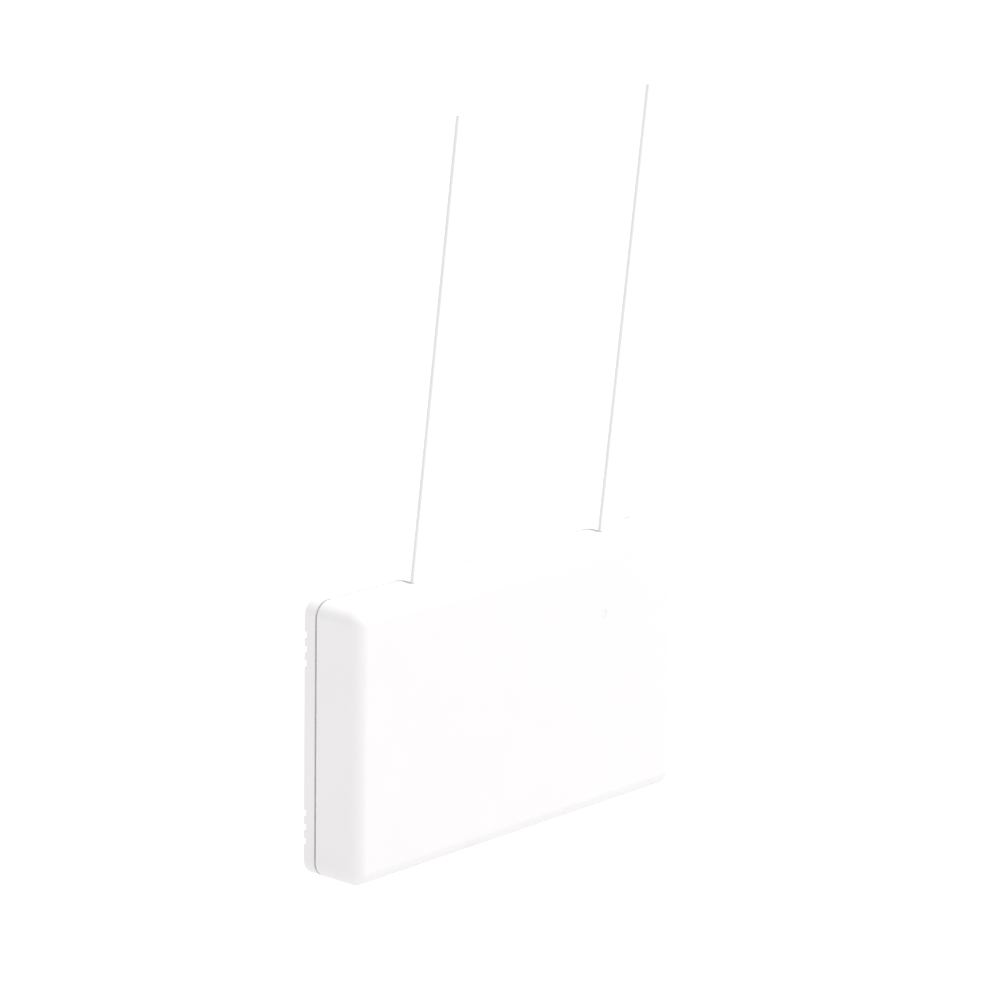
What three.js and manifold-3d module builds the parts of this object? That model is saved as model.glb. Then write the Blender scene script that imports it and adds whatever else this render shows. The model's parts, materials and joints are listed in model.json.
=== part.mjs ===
// A wall-mounted wireless receiver: a flat two-piece plastic housing with a circuit board inside
// and two straight wire antennas that stand up out of its top edge.
// Millimetres. +X is to the right, +Y goes into the wall, +Z is up.
// The origin is the centre of the face that rests on the wall.

import * as THREE from 'three';
import { mergeVertices } from 'three/addons/utils/BufferGeometryUtils.js';
import Module from 'manifold-3d';

const wasm = await Module();
wasm.setup();

// ---- Driving dimensions ----

// Housing
const WIDTH = 164;
const HEIGHT = 95;
const DEPTH = 24;
const CORNER_RADIUS = 5.6;
const FRONT_FILLET = 5.2;
const REAR_CHAMFER = 0.25;
const COVER_WALL = 2.2;
const PARTING_Y = -5.275;
const PARTING_GAP = 0.75;
const CLEARANCE = 0.3;
const TONGUE_WALL = 1.2;
const TONGUE_REACH = 2.2;
const CORNER_STEPS = 5;
const FRONT_FILLET_STEPS = 6;
const INNER_FILLET_STEPS = 3;
const SMALLEST_CORNER = 0.4;

// A cutting tool runs this far past the face that it opens, and joined solids sink this far together
const PAST = 1;
const SINK = 0.5;

// Back panel and its wall fixings
const PANEL_REAR_Y = -1.2;
const PANEL_FRONT_Y = -3.4;
const RIM_WIDTH = 3;
const LAND_WIDTH = 34;
const LAND_HEIGHT = 20;
const KEYHOLE_LAND = { radius: 10, rise: 3 };
const KEYHOLE_X = 45;
const KEYHOLE_Z = 10;
const KEYHOLE_HEAD_RADIUS = 4;
const KEYHOLE_SLOT_RADIUS = 2.1;
const KEYHOLE_RISE = 8;
const LOWER_HOLE_Z = -39;
const CABLE_ENTRY = { left: 16, right: 44, bottom: -43, top: -36.5 };
const VENT_GROUP_Z = 30.7;
const VENT_PITCH = 4.9;
const VENT_HEIGHT = 2.4;
const VENT_DEPTH = 1.05;
const LATCH_Z = 35.3;
const LATCH_LENGTH = 8.8;
const LATCH_WINDOW = 4;
const LATCH_BUMP = { height: 0.2, shorter: 1, rear: -6.5, front: -7.3 };

// Antennas: where each one crosses the top face, and how it leans
const ANTENNA_X = { left: -42, right: 53.8 };
const ANTENNA_Y = -10.9;
const ANTENNA_LEAN_RIGHT = 0.06;
const ANTENNA_LEAN_FORWARD = 0.061;
const ANTENNA_RISE = 157.2;
const SHEATH_RADIUS = 0.6;
const SHEATH_BORE = 0.36;
const CORE_RADIUS = 0.28;
const CORE_TIP = 0.2;
const CORE_INSERTION = 6.5;
const WIRE_SIDES = 12;
const SLOT_WIDTH = 1.6;
const SLOT_END_Y = -11.8;
const TAB_WIDTH = 8;
const TAB_GAP = 0.15;
const TAB_FILLET = 2.6;
const SLOT_CORNER = 1.5;

// Circuit board
const BOARD_REAR_Y = -6.2;
const BOARD_THICKNESS = 1.6;
const BOARD_FRONT_Y = BOARD_REAR_Y - BOARD_THICKNESS;
const BOARD = { left: -68, right: 68, bottom: -33, top: 38, corner: 2 };
const BOARD_SCREWS = [[-62, 32], [62, 32], [-62, -27], [62, -27]];
const BOARD_HOLE_RADIUS = 1.5;
const STANDOFF_RADIUS = 3.2;
const PILOT_RADIUS = 1.4;
const SEAT = 0.05;

// What stands behind the cover's face
const LIGHT_PIPE = { radius: 1.6, edge: 0.1, face: -DEPTH + SEAT, rear: -12.6 };
const LIGHT_PIPE_FLANGE = { radius: 2.6, front: -17.5, rear: -16.5 };
const LIGHT_PIPE_HOLE_RADIUS = 1.7;
const LIGHT_PIPE_COLLAR = { radius: 3, rear: -17.8 };
const TAMPER_POST = { radius: 2.4, rear: -16.4 };

// Places of the parts on the board, as x and z
const STATUS_LED = [41.5, 22.9];
const TAMPER_SWITCH = [0, -18];
const LEARN_BUTTON = [20, 14];
const DIP_SWITCH = [-24, -2];
const PIN_HEADER = [-58, -8];
const MICROCONTROLLER = [-2, 4];
const CRYSTAL = [-2, 16];
const REGULATOR = [-14, -24];
const CAPACITORS = [[-28, -24], [-40, -24]];
const RELAYS = [[22, -12], [40, -12]];
const RECEIVERS = { left: [-47, 14], right: [57, 8] };
const TERMINAL_BLOCK = [30, -28.3];
const TERMINAL_PITCH = 5.08;
const TERMINAL_WAYS = 6;
const ANTENNA_TERMINAL_TOP = 35;
const ANTENNA_TERMINAL = { width: 7, height: 8, depth: 8 };
const PIN_PITCH = 2.54;
const DIP_WAYS = 4;
const DIP_TRAVEL = 1.2;

const BASE_FRONT_Y = PARTING_Y + PARTING_GAP / 2;
const COVER_REAR_Y = PARTING_Y - PARTING_GAP / 2;
const COVER_INNER_Y = COVER_WALL - DEPTH;
const TOP_Z = HEIGHT / 2;

// ---- Materials ----

function plastic(color, roughness = 0.55) {
  return new THREE.MeshStandardMaterial({ color, roughness, metalness: 0 });
}

function metal(color, roughness = 0.35) {
  return new THREE.MeshStandardMaterial({ color, roughness, metalness: 1 });
}

const COVER_WHITE = '#f2f1ef';
const BASE_WHITE = '#efece8';
const SHEATH_WHITE = '#ecebe8';
const COPPER = '#b8703c';
const STEEL = '#b9bcc0';
const TIN = '#c9ccd0';
const BOARD_GREEN = '#1f6b3c';
const CARD_GREEN = '#17512f';
const TERMINAL_GREEN = '#2f8f57';
const BLACK = '#1b1b1d';
const CREAM = '#e8e4d8';
const PIPE_MILK = '#dfe3e6';
const SWITCH_RED = '#b3282d';
const SLIDER_WHITE = '#f4f2ec';
const JUMPER_BLUE = '#20365f';
const SLEEVE_GREY = '#23252b';
const LENS_GREEN = '#7fc98a';

// ---- Solids ----

// A closed geometry as a solid, with its faces turned outward.
function solidOf(geometry) {
  const bare = geometry.clone();
  bare.deleteAttribute('normal');
  bare.deleteAttribute('uv');
  const merged = mergeVertices(bare, 1e-4);
  const corners = merged.index.array;
  const places = merged.attributes.position;
  const [a, b, c] = [new THREE.Vector3(), new THREE.Vector3(), new THREE.Vector3()];
  const faces = [];
  let volume = 0;
  for (let i = 0; i < corners.length; i += 3) {
    const [p, q, r] = [corners[i], corners[i + 1], corners[i + 2]];
    if (p === q || q === r || r === p) continue;
    faces.push([p, q, r]);
    a.fromBufferAttribute(places, p);
    b.fromBufferAttribute(places, q);
    c.fromBufferAttribute(places, r);
    volume += a.dot(b.cross(c));
  }
  if (volume < 0) faces.forEach((face) => face.reverse());
  return new wasm.Manifold(new wasm.Mesh({
    numProp: 3,
    vertProperties: new Float32Array(places.array),
    triVerts: new Uint32Array(faces.flat()),
  }));
}

function geometryOf(solid) {
  const surface = solid.getMesh();
  const geometry = new THREE.BufferGeometry();
  geometry.setAttribute('position', new THREE.BufferAttribute(surface.vertProperties, 3));
  geometry.setIndex(new THREE.BufferAttribute(surface.triVerts, 1));
  geometry.computeVertexNormals();
  return geometry;
}

function join(first, ...others) {
  return others.reduce((whole, piece) => whole.add(piece), first);
}

function cut(first, ...tools) {
  return tools.reduce((whole, tool) => whole.subtract(tool), first);
}

// A box between two corners. "back" is the end nearer the wall.
function block(left, right, back, front, bottom, top) {
  const geometry = new THREE.BoxGeometry(right - left, back - front, top - bottom);
  geometry.translate((left + right) / 2, (back + front) / 2, (bottom + top) / 2);
  return solidOf(geometry);
}

// A box of a given width and height about (x, z).
function blockAt(x, z, width, height, back, front) {
  return block(x - width / 2, x + width / 2, back, front, z - height / 2, z + height / 2);
}

// A round bar along Y about (x, z).
function bar(radius, back, front, x = 0, z = 0, sides = 20) {
  const geometry = new THREE.CylinderGeometry(radius, radius, back - front, sides);
  geometry.translate(x, (back + front) / 2, z);
  return solidOf(geometry);
}

// A profile of [radius, y] points turned about the Y axis.
function turned(profile, sides = 20) {
  return solidOf(new THREE.LatheGeometry(profile.map(([r, y]) => new THREE.Vector2(r, y)), sides));
}

// An outline in x and z, extruded along Y.
function prism(outline, back, front) {
  const geometry = new THREE.ExtrudeGeometry(outline, {
    depth: back - front,
    bevelEnabled: false,
    curveSegments: CORNER_STEPS,
  });
  geometry.rotateX(Math.PI / 2);
  geometry.translate(0, back, 0);
  return solidOf(geometry);
}

// A round bar along Z at (x, y).
function upright(radius, x, y, bottom, top, sides) {
  const geometry = new THREE.CylinderGeometry(radius, radius, top - bottom, sides);
  geometry.rotateX(Math.PI / 2);
  geometry.translate(x, y, (bottom + top) / 2);
  return solidOf(geometry);
}

function roundedOutline(left, right, bottom, top, radius) {
  const quarter = Math.PI / 2;
  const outline = new THREE.Shape();
  outline.absarc(right - radius, top - radius, radius, 0, quarter);
  outline.absarc(left + radius, top - radius, radius, quarter, 2 * quarter);
  outline.absarc(left + radius, bottom + radius, radius, 2 * quarter, 3 * quarter);
  outline.absarc(right - radius, bottom + radius, radius, 3 * quarter, 4 * quarter);
  outline.closePath();
  return outline;
}

// The housing's outline, set in from the outer surface, at one depth.
function housingRing({ inset, y }) {
  const radius = Math.max(CORNER_RADIUS - inset, SMALLEST_CORNER);
  const points = [];
  for (let corner = 0; corner < 4; corner += 1) {
    const side = corner === 0 || corner === 3 ? 1 : -1;
    const rise = corner < 2 ? 1 : -1;
    for (let step = 0; step <= CORNER_STEPS; step += 1) {
      const angle = (corner + step / CORNER_STEPS) * Math.PI / 2;
      const x = side * (WIDTH / 2 - inset - radius) + radius * Math.cos(angle);
      const z = rise * (HEIGHT / 2 - inset - radius) + radius * Math.sin(angle);
      points.push([x, y, z]);
    }
  }
  return points;
}

// A solid skinned over housing rings in order, closed by a flat face at each end.
function housingSkin(rings) {
  const loops = rings.map(housingRing);
  const count = loops[0].length;
  const vertices = loops.flat();
  const triangles = [];
  for (let ring = 0; ring < loops.length - 1; ring += 1) {
    for (let i = 0; i < count; i += 1) {
      const here = ring * count + i;
      const next = ring * count + (i + 1) % count;
      triangles.push(here, next, here + count, next, next + count, here + count);
    }
  }
  const last = (loops.length - 1) * count;
  const firstCentre = vertices.push([0, rings[0].y, 0]) - 1;
  const lastCentre = vertices.push([0, rings.at(-1).y, 0]) - 1;
  for (let i = 0; i < count; i += 1) {
    const next = (i + 1) % count;
    triangles.push(firstCentre, next, i);
    triangles.push(lastCentre, last + i, last + next);
  }
  const geometry = new THREE.BufferGeometry();
  geometry.setAttribute('position', new THREE.Float32BufferAttribute(vertices.flat(), 3));
  geometry.setIndex(triangles);
  return solidOf(geometry);
}

// Rings along a rounded front edge, from the side wall round to the flat face at faceY.
function filletRings(inset, faceY, radius, steps) {
  return Array.from({ length: steps + 1 }, (_, step) => {
    const angle = (step / steps) * Math.PI / 2;
    return {
      inset: inset + radius * (1 - Math.cos(angle)),
      y: faceY + radius * (1 - Math.sin(angle)),
    };
  });
}

// ---- Parts ----

const receiver = new THREE.Group();
const board = new THREE.Group();
board.position.y = BOARD_FRONT_Y - SEAT;
receiver.add(board);

function addPart(parent, name, solid, material, x = 0, z = 0) {
  const mesh = new THREE.Mesh(geometryOf(solid), material);
  mesh.name = name;
  mesh.position.set(x, 0, z);
  parent.add(mesh);
  return mesh;
}

// The guide tab beside an antenna closes the cover's notch, all but the slot that the wire stands in.
// A hollow fillet joins its left side to the base's edge.
function guideTab(antennaX) {
  const left = antennaX + SLOT_WIDTH / 2;
  const rear = BASE_FRONT_Y + PAST;
  const bottom = TOP_Z - COVER_WALL;
  const hollowY = BASE_FRONT_Y - TAB_FILLET;
  const hollow = upright(TAB_FILLET, left - TAB_FILLET, hollowY, bottom - PAST, TOP_Z + PAST, 32);
  return join(
    block(left, left + TAB_WIDTH, rear, SLOT_END_Y + TAB_GAP, bottom, TOP_Z),
    cut(block(left - TAB_FILLET, left + PAST, rear, hollowY, bottom, TOP_Z), hollow),
  );
}

// Windows in the tongue, one on each side, that the cover's latch bumps sit in.
function latchWindows() {
  const middle = WIDTH / 2 - COVER_WALL - CLEARANCE - TONGUE_WALL / 2;
  return [-1, 1].map((side) => (
    blockAt(side * middle, LATCH_Z, LATCH_WINDOW, LATCH_LENGTH, BASE_FRONT_Y, -DEPTH)
  ));
}

function keyhole(x) {
  const top = KEYHOLE_Z + KEYHOLE_RISE;
  const front = PANEL_FRONT_Y - PAST;
  return join(
    bar(KEYHOLE_HEAD_RADIUS, PAST, front, x, KEYHOLE_Z),
    bar(KEYHOLE_SLOT_RADIUS, PAST, front, x, top),
    block(x - KEYHOLE_SLOT_RADIUS, x + KEYHOLE_SLOT_RADIUS, PAST, front, KEYHOLE_Z, top),
  );
}

function ventNotches() {
  const notches = [];
  for (const side of [-1, 1]) {
    for (const group of [-1, 1]) {
      for (const step of [-1, 0, 1]) {
        const z = group * VENT_GROUP_Z + step * VENT_PITCH;
        notches.push(blockAt(side * WIDTH / 2, z, 2 * RIM_WIDTH + PAST, VENT_HEIGHT, PAST, -VENT_DEPTH));
      }
    }
  }
  return notches;
}

// Raised lands on the back of the panel, in the middle and round each keyhole, that rest on the wall.
function wallLands() {
  const front = PANEL_REAR_Y - SINK;
  const z = KEYHOLE_Z + KEYHOLE_LAND.rise;
  return [
    blockAt(0, 0, LAND_WIDTH, LAND_HEIGHT, 0, front),
    ...[-1, 1].map((side) => bar(KEYHOLE_LAND.radius, 0, front, side * KEYHOLE_X, z, 32)),
  ];
}

function standoff([x, z]) {
  return cut(
    bar(STANDOFF_RADIUS, PANEL_FRONT_Y + SINK, BOARD_REAR_Y + SEAT, x, z),
    bar(PILOT_RADIUS, PANEL_FRONT_Y, BOARD_REAR_Y - PAST, x, z),
  );
}

function rearBase() {
  const tongueInset = COVER_WALL + CLEARANCE;
  const wall = tongueInset + TONGUE_WALL;
  const shell = housingSkin([
    { inset: REAR_CHAMFER, y: 0 },
    { inset: 0, y: -REAR_CHAMFER },
    { inset: 0, y: BASE_FRONT_Y },
  ]);
  const tongue = housingSkin([
    { inset: tongueInset, y: PANEL_FRONT_Y },
    { inset: tongueInset, y: PARTING_Y - TONGUE_REACH },
  ]);
  const inside = housingSkin([{ inset: wall, y: PANEL_FRONT_Y }, { inset: wall, y: -DEPTH }]);
  const hollowBack = housingSkin([{ inset: RIM_WIDTH, y: PAST }, { inset: RIM_WIDTH, y: PANEL_REAR_Y }]);
  const tray = cut(join(shell, tongue), inside, hollowBack);
  const tabs = Object.values(ANTENNA_X).map(guideTab);
  const { left, right, bottom, top } = CABLE_ENTRY;
  const front = PANEL_FRONT_Y - PAST;
  return cut(
    join(tray, ...wallLands(), ...BOARD_SCREWS.map(standoff), ...tabs),
    keyhole(-KEYHOLE_X),
    keyhole(KEYHOLE_X),
    bar(KEYHOLE_SLOT_RADIUS, PAST, front, 0, LOWER_HOLE_Z),
    block(left, right, PAST, front, bottom, top),
    ...ventNotches(),
    ...latchWindows(),
  );
}

// The notch in the cover's top wall is open to the rear, so the cover pulls off past the wire.
function antennaNotch(antennaX) {
  const left = antennaX - SLOT_WIDTH / 2;
  const right = antennaX + SLOT_WIDTH / 2 + TAB_WIDTH + TAB_GAP;
  const endRadius = SLOT_WIDTH / 2;
  const rear = COVER_REAR_Y + PAST;
  const bottom = TOP_Z - 2 * COVER_WALL;
  const top = TOP_Z + PAST;
  const cornerX = left - SLOT_CORNER;
  const cornerY = COVER_REAR_Y - SLOT_CORNER;
  const mouth = cut(
    block(cornerX, antennaX, rear, cornerY, bottom, top),
    upright(SLOT_CORNER, cornerX, cornerY, bottom - PAST, top + PAST, 24),
  );
  return join(
    block(left, right, rear, SLOT_END_Y + endRadius, bottom, top),
    block(antennaX, right, SLOT_END_Y + 2 * endRadius, SLOT_END_Y, bottom, top),
    upright(endRadius, antennaX, SLOT_END_Y + endRadius, bottom, top, 16),
    mouth,
  );
}

function latchBump(side) {
  const { height, shorter, rear, front } = LATCH_BUMP;
  return blockAt(side * (WIDTH / 2 - COVER_WALL), LATCH_Z, 2 * height, LATCH_LENGTH - shorter, rear, front);
}

function frontCover() {
  const outer = housingSkin([
    { inset: 0, y: COVER_REAR_Y },
    ...filletRings(0, -DEPTH, FRONT_FILLET, FRONT_FILLET_STEPS),
  ]);
  const inner = housingSkin([
    { inset: COVER_WALL, y: COVER_REAR_Y + PAST },
    ...filletRings(COVER_WALL, COVER_INNER_Y, FRONT_FILLET - COVER_WALL, INNER_FILLET_STEPS),
  ]);
  const root = COVER_INNER_Y - SINK;
  return cut(
    join(
      cut(outer, inner),
      bar(LIGHT_PIPE_COLLAR.radius, LIGHT_PIPE_COLLAR.rear, root, ...STATUS_LED),
      bar(TAMPER_POST.radius, TAMPER_POST.rear, root, ...TAMPER_SWITCH),
      latchBump(-1),
      latchBump(1),
    ),
    bar(LIGHT_PIPE_HOLE_RADIUS, 0, -DEPTH - PAST, ...STATUS_LED, 32),
    ...Object.values(ANTENNA_X).map(antennaNotch),
  );
}

function lightPipe() {
  const { radius, edge, face, rear } = LIGHT_PIPE;
  const flange = LIGHT_PIPE_FLANGE;
  return turned([[0, face], [radius - edge, face], [radius, face + edge], [radius, flange.front],
    [flange.radius, flange.front], [flange.radius, flange.rear], [radius, flange.rear],
    [radius, rear], [0, rear]]);
}

function circuitBoard() {
  const { left, right, bottom, top, corner } = BOARD;
  return cut(
    prism(roundedOutline(left, right, bottom, top, corner), BOARD_REAR_Y, BOARD_FRONT_Y),
    ...BOARD_SCREWS.map(([x, z]) => bar(BOARD_HOLE_RADIUS, 0, BOARD_FRONT_Y - PAST, x, z)),
  );
}

// A pan-head screw with a cross recess. Its head rests at y = 0 and its shank goes into +Y.
function screw(headRadius, headHeight, shankRadius, shankLength) {
  const crownRadius = headRadius * 0.7;
  const crownEdge = -headHeight * 0.4;
  const recessLength = headRadius * 1.3;
  const recessWidth = headRadius * 0.28;
  const recessFloor = -headHeight * 0.45;
  const recessTop = -headHeight - PAST;
  return cut(
    turned([[0, -headHeight], [crownRadius, -headHeight], [headRadius, crownEdge], [headRadius, 0],
      [shankRadius, 0], [shankRadius, shankLength], [0, shankLength]], 16),
    blockAt(0, 0, recessLength, recessWidth, recessFloor, recessTop),
    blockAt(0, 0, recessWidth, recessLength, recessFloor, recessTop),
  );
}

function antennaSheath() {
  const bottom = ANTENNA_TERMINAL_TOP + CLEARANCE - TOP_Z;
  return turned([[SHEATH_BORE, bottom], [SHEATH_RADIUS, bottom], [SHEATH_RADIUS, ANTENNA_RISE],
    [SHEATH_BORE, ANTENNA_RISE], [SHEATH_BORE, bottom]], WIRE_SIDES);
}

function antennaCore() {
  const bottom = ANTENNA_TERMINAL_TOP - CORE_INSERTION - TOP_Z;
  const top = ANTENNA_RISE + CORE_TIP;
  return turned([[0, bottom], [CORE_RADIUS, bottom], [CORE_RADIUS, top], [0, top]], WIRE_SIDES);
}

// Places a group on an antenna's axis, with its own Y along the wire and its origin at the top face.
function antennaGroup(side) {
  const along = new THREE.Vector3(ANTENNA_LEAN_RIGHT, -ANTENNA_LEAN_FORWARD, 1).normalize();
  const group = new THREE.Group();
  group.position.set(ANTENNA_X[side], ANTENNA_Y, TOP_Z);
  group.quaternion.setFromUnitVectors(new THREE.Vector3(0, 1, 0), along);
  group.updateMatrix();
  return group;
}

// The x at which an antenna's axis meets its clamp screw.
function clampX(side, z) {
  return ANTENNA_X[side] + ANTENNA_LEAN_RIGHT * (z - TOP_Z);
}

// A one-way screw terminal. Its wire hole follows the antenna's lean.
function antennaTerminal(side, centreX, centreZ) {
  const { width, height, depth } = ANTENNA_TERMINAL;
  const hole = { radius: 0.75, length: 20, depth: 7 };
  const well = { radius: 2.3, floor: -4.8 };
  const pilot = { radius: 1.45, floor: -2 };
  const wireHole = new THREE.CylinderGeometry(hole.radius, hole.radius, hole.length, WIRE_SIDES);
  wireHole.translate(0, ANTENNA_TERMINAL_TOP - TOP_Z - hole.depth + hole.length / 2, 0);
  wireHole.applyMatrix4(antennaGroup(side).matrix);
  wireHole.translate(-centreX, -BOARD_FRONT_Y + SEAT, -centreZ);
  return cut(
    blockAt(0, 0, width, height, 0, -depth),
    solidOf(wireHole),
    bar(well.radius, well.floor, -depth - PAST),
    bar(pilot.radius, pilot.floor, -depth - PAST),
  );
}

function terminalBlock() {
  const width = TERMINAL_WAYS * TERMINAL_PITCH + 0.6;
  const foot = { height: 8.6, front: -7 };
  const crown = { z: 0.6, height: 7.4, front: -10 };
  const wireHole = { width: 3.4, rear: -1.6, front: -5.2, top: 2.4 };
  const well = { radius: 2, floor: -5 };
  const openings = [];
  for (let way = 0; way < TERMINAL_WAYS; way += 1) {
    const x = (way - (TERMINAL_WAYS - 1) / 2) * TERMINAL_PITCH;
    const { rear, front, top } = wireHole;
    openings.push(block(x - wireHole.width / 2, x + wireHole.width / 2, rear, front, -5, top));
    openings.push(bar(well.radius, well.floor, crown.front - PAST, x, 0, 16));
  }
  return cut(
    join(
      blockAt(0, 0, width, foot.height, 0, foot.front),
      blockAt(0, crown.z, width, crown.height, foot.front + PAST, crown.front),
    ),
    ...openings,
  );
}

function tamperSwitchBody() {
  const body = { width: 7, front: -2.6 };
  const neck = { radius: 2.7, front: -3.2 };
  const bore = { radius: 1.2, floor: -0.8 };
  return cut(
    join(blockAt(0, 0, body.width, body.width, 0, body.front), bar(neck.radius, 0, neck.front)),
    bar(bore.radius, bore.floor, neck.front - PAST),
  );
}

function tamperPlunger() {
  const stem = { radius: 0.9, rear: -1.2 };
  const head = { radius: 2.6, rear: -7.4, front: -8.2, edge: 0.2 };
  return turned([[0, stem.rear], [stem.radius, stem.rear], [stem.radius, head.rear],
    [head.radius, head.rear], [head.radius, head.front + head.edge], [2.2, head.front],
    [0, head.front]], 16);
}

// The return spring under the plunger's head, one closed coil of round wire.
function tamperSpring() {
  const spring = { turns: 4, radius: 1.75, wire: 0.2, rear: -3.6, length: 3.4, stepsPerTurn: 14 };
  class Coil extends THREE.Curve {
    getPoint(t, target = new THREE.Vector3()) {
      const angle = 2 * Math.PI * spring.turns * t;
      const y = spring.rear - spring.length * t;
      return target.set(spring.radius * Math.cos(angle), y, spring.radius * Math.sin(angle));
    }
  }
  const section = new THREE.Shape();
  section.absarc(0, 0, spring.wire, 0, 2 * Math.PI);
  return solidOf(new THREE.ExtrudeGeometry(section, {
    extrudePath: new Coil(),
    steps: spring.turns * spring.stepsPerTurn,
    curveSegments: 3,
    bevelEnabled: false,
  }));
}

function learnButtonBody() {
  const body = { width: 6, front: -3.4 };
  const neck = { radius: 2.5, front: -3.8 };
  const bore = { radius: 1.9, floor: -1.8 };
  return cut(
    join(
      blockAt(0, 0, body.width, body.width, 0, body.front),
      bar(neck.radius, body.front + SINK, neck.front),
    ),
    bar(bore.radius, bore.floor, neck.front - PAST),
  );
}

function learnButtonCap() {
  const cap = { radius: 1.75, rear: -2.2, front: -5.3 };
  const edge = { inset: 0.2, depth: 0.3 };
  return turned([[0, cap.rear], [cap.radius, cap.rear], [cap.radius, cap.front + edge.depth],
    [cap.radius - edge.inset, cap.front], [0, cap.front]], 18);
}

function dipSwitchBody() {
  const body = { width: 11.7, height: 6.6, front: -3.2 };
  const window = { width: 1.4, height: 2.7, floor: -1.2 };
  const windows = Array.from({ length: DIP_WAYS }, (_, way) => {
    const x = (way - (DIP_WAYS - 1) / 2) * PIN_PITCH;
    return blockAt(x, 0, window.width, window.height, window.floor, body.front - PAST);
  });
  return cut(blockAt(0, 0, body.width, body.height, 0, body.front), ...windows);
}

function dipSlider() {
  const knob = { width: 1.1, rear: -1.35, front: -3.9 };
  return blockAt(0, -DIP_TRAVEL / 2, knob.width, knob.width, knob.rear, knob.front);
}

function pinHeader() {
  const base = { width: 7.6, height: 2.5, front: -2.5 };
  const pin = { width: 0.64, rear: -1, front: -8 };
  const pins = [-1, 0, 1].map((way) => (
    blockAt(way * PIN_PITCH, 0, pin.width, pin.width, pin.rear, pin.front)
  ));
  return join(blockAt(0, 0, base.width, base.height, 0, base.front), ...pins);
}

// The shorting cap bridges the header's first two pins.
function jumperCap() {
  const cap = { width: 4.9, height: 2.4, rear: -2.7, front: -8.7 };
  const pocket = { width: 0.95, floor: -8.2 };
  const pockets = [-1, 0].map((way) => (
    blockAt(way * PIN_PITCH, 0, pocket.width, pocket.width, cap.rear + PAST, pocket.floor)
  ));
  return cut(blockAt(-PIN_PITCH / 2, 0, cap.width, cap.height, cap.rear, cap.front), ...pockets);
}

function microcontroller() {
  const body = { width: 12.8, height: 7.5, rear: -0.15, front: -2.4 };
  const lead = { pins: 10, pitch: PIN_PITCH / 2, width: 0.42 };
  const foot = { z: 4.3, height: 2, rear: -0.05, front: -0.35 };
  const shank = { z: 3.75, height: 0.5, rear: -0.2, front: -1.2 };
  const leads = [];
  for (const side of [-1, 1]) {
    for (let pin = 0; pin < lead.pins; pin += 1) {
      const x = (pin - (lead.pins - 1) / 2) * lead.pitch;
      leads.push(blockAt(x, side * foot.z, lead.width, foot.height, foot.rear, foot.front));
      leads.push(blockAt(x, side * shank.z, lead.width, shank.height, shank.rear, shank.front));
    }
  }
  return join(blockAt(0, 0, body.width, body.height, body.rear, body.front), ...leads);
}

function crystal() {
  return join(
    prism(roundedOutline(-5.6, 5.6, -2.35, 2.35, 2.2), 0, -0.6),
    prism(roundedOutline(-5.1, 5.1, -1.9, 1.9, 1.8), -0.4, -3.6),
  );
}

// A surface-mounted regulator: its metal tab is soldered down above the body, its legs below.
function regulator() {
  const body = { width: 6.6, height: 6.1, rear: -0.1, front: -2.4 };
  const tab = { z: 3.4, width: 5.3, height: 1.6 };
  const leg = { x: 2.3, z: -4, width: 0.8, height: 3 };
  const [metalRear, metalFront] = [-0.05, -0.6];
  return join(
    blockAt(0, 0, body.width, body.height, body.rear, body.front),
    blockAt(0, tab.z, tab.width, tab.height, metalRear, metalFront),
    ...[-1, 1].map((side) => blockAt(side * leg.x, leg.z, leg.width, leg.height, metalRear, metalFront)),
  );
}

// An upright electrolytic capacitor, with the groove rolled into its can near the foot.
function capacitor(radius, height) {
  const groove = { rear: 1.6, middle: 1.9, front: 2.2, depth: 0.3 };
  const edge = 0.4;
  return turned([[0, 0], [radius, 0], [radius, -groove.rear], [radius - groove.depth, -groove.middle],
    [radius, -groove.front], [radius, -height + edge], [radius - edge, -height], [0, -height]], 24);
}

function relay() {
  const can = { width: 15, height: 10, front: -9.6 };
  const foot = { wider: 0.6, front: -1 };
  return join(
    blockAt(0, 0, can.width, can.height, 0, can.front),
    blockAt(0, 0, can.width + foot.wider, can.height + foot.wider, 0, foot.front),
  );
}

function receiverBoard() {
  const card = { width: 20, height: 14, rear: -1, front: -1.8 };
  const pin = { count: 7, z: -5.8, width: 0.8, front: -1.2 };
  const pins = Array.from({ length: pin.count }, (_, way) => {
    const x = (way - (pin.count - 1) / 2) * PIN_PITCH;
    return blockAt(x, pin.z, pin.width, pin.width, 0, pin.front);
  });
  return join(blockAt(0, 0, card.width, card.height, card.rear, card.front), ...pins);
}

function receiverShield() {
  const can = { z: 1, width: 14, height: 10, rear: -1.85, front: -4.8 };
  const lid = { smaller: 0.6, rear: -4.5, front: -5 };
  return join(
    blockAt(0, can.z, can.width, can.height, can.rear, can.front),
    blockAt(0, can.z, can.width - lid.smaller, can.height - lid.smaller, lid.rear, lid.front),
  );
}

function statusLed() {
  const rim = { radius: 1.9, front: -0.9 };
  const lens = { radius: 1.5, shoulder: -2.7, steps: 3 };
  const dome = Array.from({ length: lens.steps }, (_, step) => {
    const angle = (step / lens.steps) * Math.PI / 2;
    return [lens.radius * Math.cos(angle), lens.shoulder - lens.radius * Math.sin(angle)];
  });
  return turned([[0, 0], [rim.radius, 0], [rim.radius, rim.front], [lens.radius, rim.front],
    ...dome, [0, lens.shoulder - lens.radius]]);
}

// ---- Assembly ----

// Fasteners, as head radius, head height, shank radius and shank length.
const BOARD_SCREW = [2.5, 1.6, 1.1, 3.9];
const CLAMP_SCREW = [2, 1.2, 1.15, 1.8];
const CLAMP_SCREW_SEAT = -5.1;
const WIRE_SCREW = [1.75, 1.2, 1, 1.2];
const WIRE_SCREW_SEAT = -6.6;

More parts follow.
